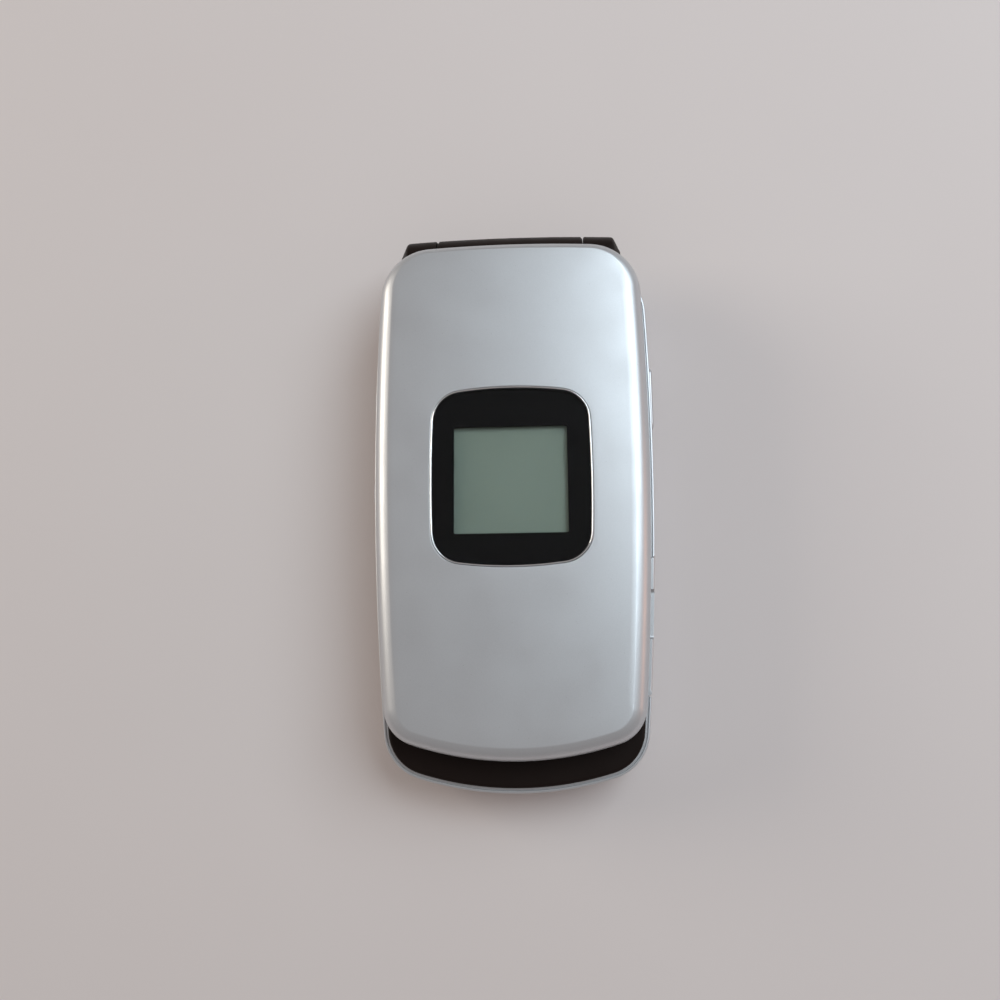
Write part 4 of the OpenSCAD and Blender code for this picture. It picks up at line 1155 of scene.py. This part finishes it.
def charge_socket():
    """The shell of the charging connector, its tongue and its contacts."""
    a, b = low("charge_connector"), high("charge_connector")
    mid, wide, tall = ((a.y + b.y) / 2, (a.z + b.z) / 2), b.y - a.y, b.z - a.z
    shell = prism(pill(mid, wide, tall, 0.5),
                  [(0.06, a.x), (0, a.x + 0.06), (0, b.x - 0.06), (0.06, b.x)])
    cut(shell, prism(pill(mid, wide - 1.2, tall - 1.0, 0.5),
                     [(0, a.x + 0.8), (0, b.x - 0.15), (-0.12, b.x + 0.001), (-0.12, b.x + 1)]))
    tongue = prism(pill(mid, wide - 3.4, 0.7, 0.15),
                   [(0, a.x + 0.6), (0, b.x - 0.9), (0.1, b.x - 0.7)])
    pins = [prism(pill((mid[0] + i - 4.5, mid[1] - 0.36), 0.45, 0.12, 0.04, 2),
                  [(0, a.x + 0.7), (0, b.x - 1.1)]) for i in range(10)]
    made = joined(sideways(shell, 1), sideways(tongue, 1), sideways(joined_same(pins), 1))
    piece("charge_socket", "base", made, [TIN, RUBBER, GOLD], ["charge_connector"])


# ---- Carried-over parts of the frame ----

CARRIED = ((SILICONE, "keypad_mat"), (FILM, "dome_sheet"), (BOARD, "main_board display_board"),
           (TIN, "shield_cans"), (GOLD, "battery_contacts"), (PANEL, "outer_display"),
           (SCREEN, "inner_display"), (RUBBER, "loudspeaker microphone earpiece"),
           (AMBER, "antenna flex_cable display_flex"),
           (STEEL, "vibration_motor motor_weight closing_magnet hinge_cartridge hinge_shaft "
                   "hinge_sleeve"))


def dress_carried():
    """Gives the frame's own pieces their looks, and all but the thin ones soft edges."""
    for look, node in [(look, node) for look, nodes in CARRIED for node in nodes.split()]:
        obj = frame["nodes"][node]
        obj.data.materials.clear()
        obj.data.materials.append(look)
        if node in ("outer_display", "inner_display", "keypad_mat", "dome_sheet"):
            continue
        edge = obj.modifiers.new("soft_edges", "BEVEL")
        edge.width = 0.06 * MM
        edge.segments = 2
        edge.limit_method = "ANGLE"
        edge.angle_limit = math.radians(50)
        edge.use_clamp_overlap = True


# ---- Stage, lights and camera ----

def camera():
    """The photograph's view: the phone lies on its back, its chin tipped towards the lens."""
    aim = Vector((0, 7.68, 17.5))
    turn = (Matrix.Rotation(math.radians(0.5), 4, "Z")
            @ Matrix.Rotation(math.radians(-10.47), 4, "X")
            @ Matrix.Rotation(math.radians(-3.2), 4, "Y"))
    off = Vector((1.83, 8.25, 0))
    back = Vector((0, 0, 157.5))
    data = bpy.data.cameras.new("camera")
    data.lens = 34.2
    data.sensor_width = 36
    data.clip_start = 0.005
    data.clip_end = 50
    cam = bpy.data.objects.new("camera", data)
    place = aim + turn.inverted() @ (back - off)
    cam.matrix_world = Matrix.Translation(place * MM) @ turn.inverted()
    bpy.context.scene.collection.objects.link(cam)
    bpy.context.scene.camera = cam


def area_light(name, place, aim, size, power, colour):
    """A square lamp of a size and power that faces a point."""
    data = bpy.data.lights.new(name, "AREA")
    data.size = size
    data.energy = power
    data.color = colour
    obj = bpy.data.objects.new(name, data)
    obj.location = place
    obj.rotation_euler = (Vector(aim) - Vector(place)).to_track_quat("-Z", "Y").to_euler()
    bpy.context.scene.collection.objects.link(obj)


FLOOR_SIZE = 3.0
LAMPS = (("key", (0.30, 0.21, 0.48), (0, 0.005, 0.01), 0.42, 2.2, (0.79, 0.925, 1.0)),
         ("ivory", (-0.66, 0.22, 0.27), (0, 0.01, 0.01), 0.37, 1.9, (1.0, 0.92, 0.80)),
         ("rose", (0.55, 0.0, 0.13), (0, 0, 0.01), 0.22, 0.20, (1.0, 0.56, 0.40)))


def stage():
    """The pale paper floor, the sky and the lamps."""
    mesh = bpy.data.meshes.new("floor")
    with edited(mesh) as bm:
        bmesh.ops.create_grid(bm, x_segments=8, y_segments=8, size=FLOOR_SIZE)
    floor = bpy.data.objects.new("floor", mesh)
    floor.location.z = -0.0001
    bpy.context.scene.collection.objects.link(floor)
    look = Look("floor_paper", (0.70, 0.635, 0.62), Roughness=0.9)
    look.tint(look.span(look.noise(60, 2), 0.35, 0.7, 0.0, 0.3), (0.73, 0.67, 0.655))
    floor.data.materials.append(look.mat)
    world = bpy.data.worlds.new("studio")
    bpy.context.scene.world = world
    world.use_nodes = True
    sky = world.node_tree.nodes["Background"]
    sky.inputs["Color"].default_value = (0.92, 0.85, 0.83, 1)
    sky.inputs["Strength"].default_value = 0.33
    for lamp in LAMPS:
        area_light(*lamp)


# ---- Everything in its order ----

rear_housing()
battery_cover()
port_cover()
side_keys()
front_housing()
pad_keys()
nav_keys()
lid_cover()
window_pieces()
lid_frame()
screws_and_plugs()
inner_pane()
grille()
battery()
charge_socket()
dress_carried()
camera()
stage()
bpy.context.scene.view_settings.view_transform = "Standard"
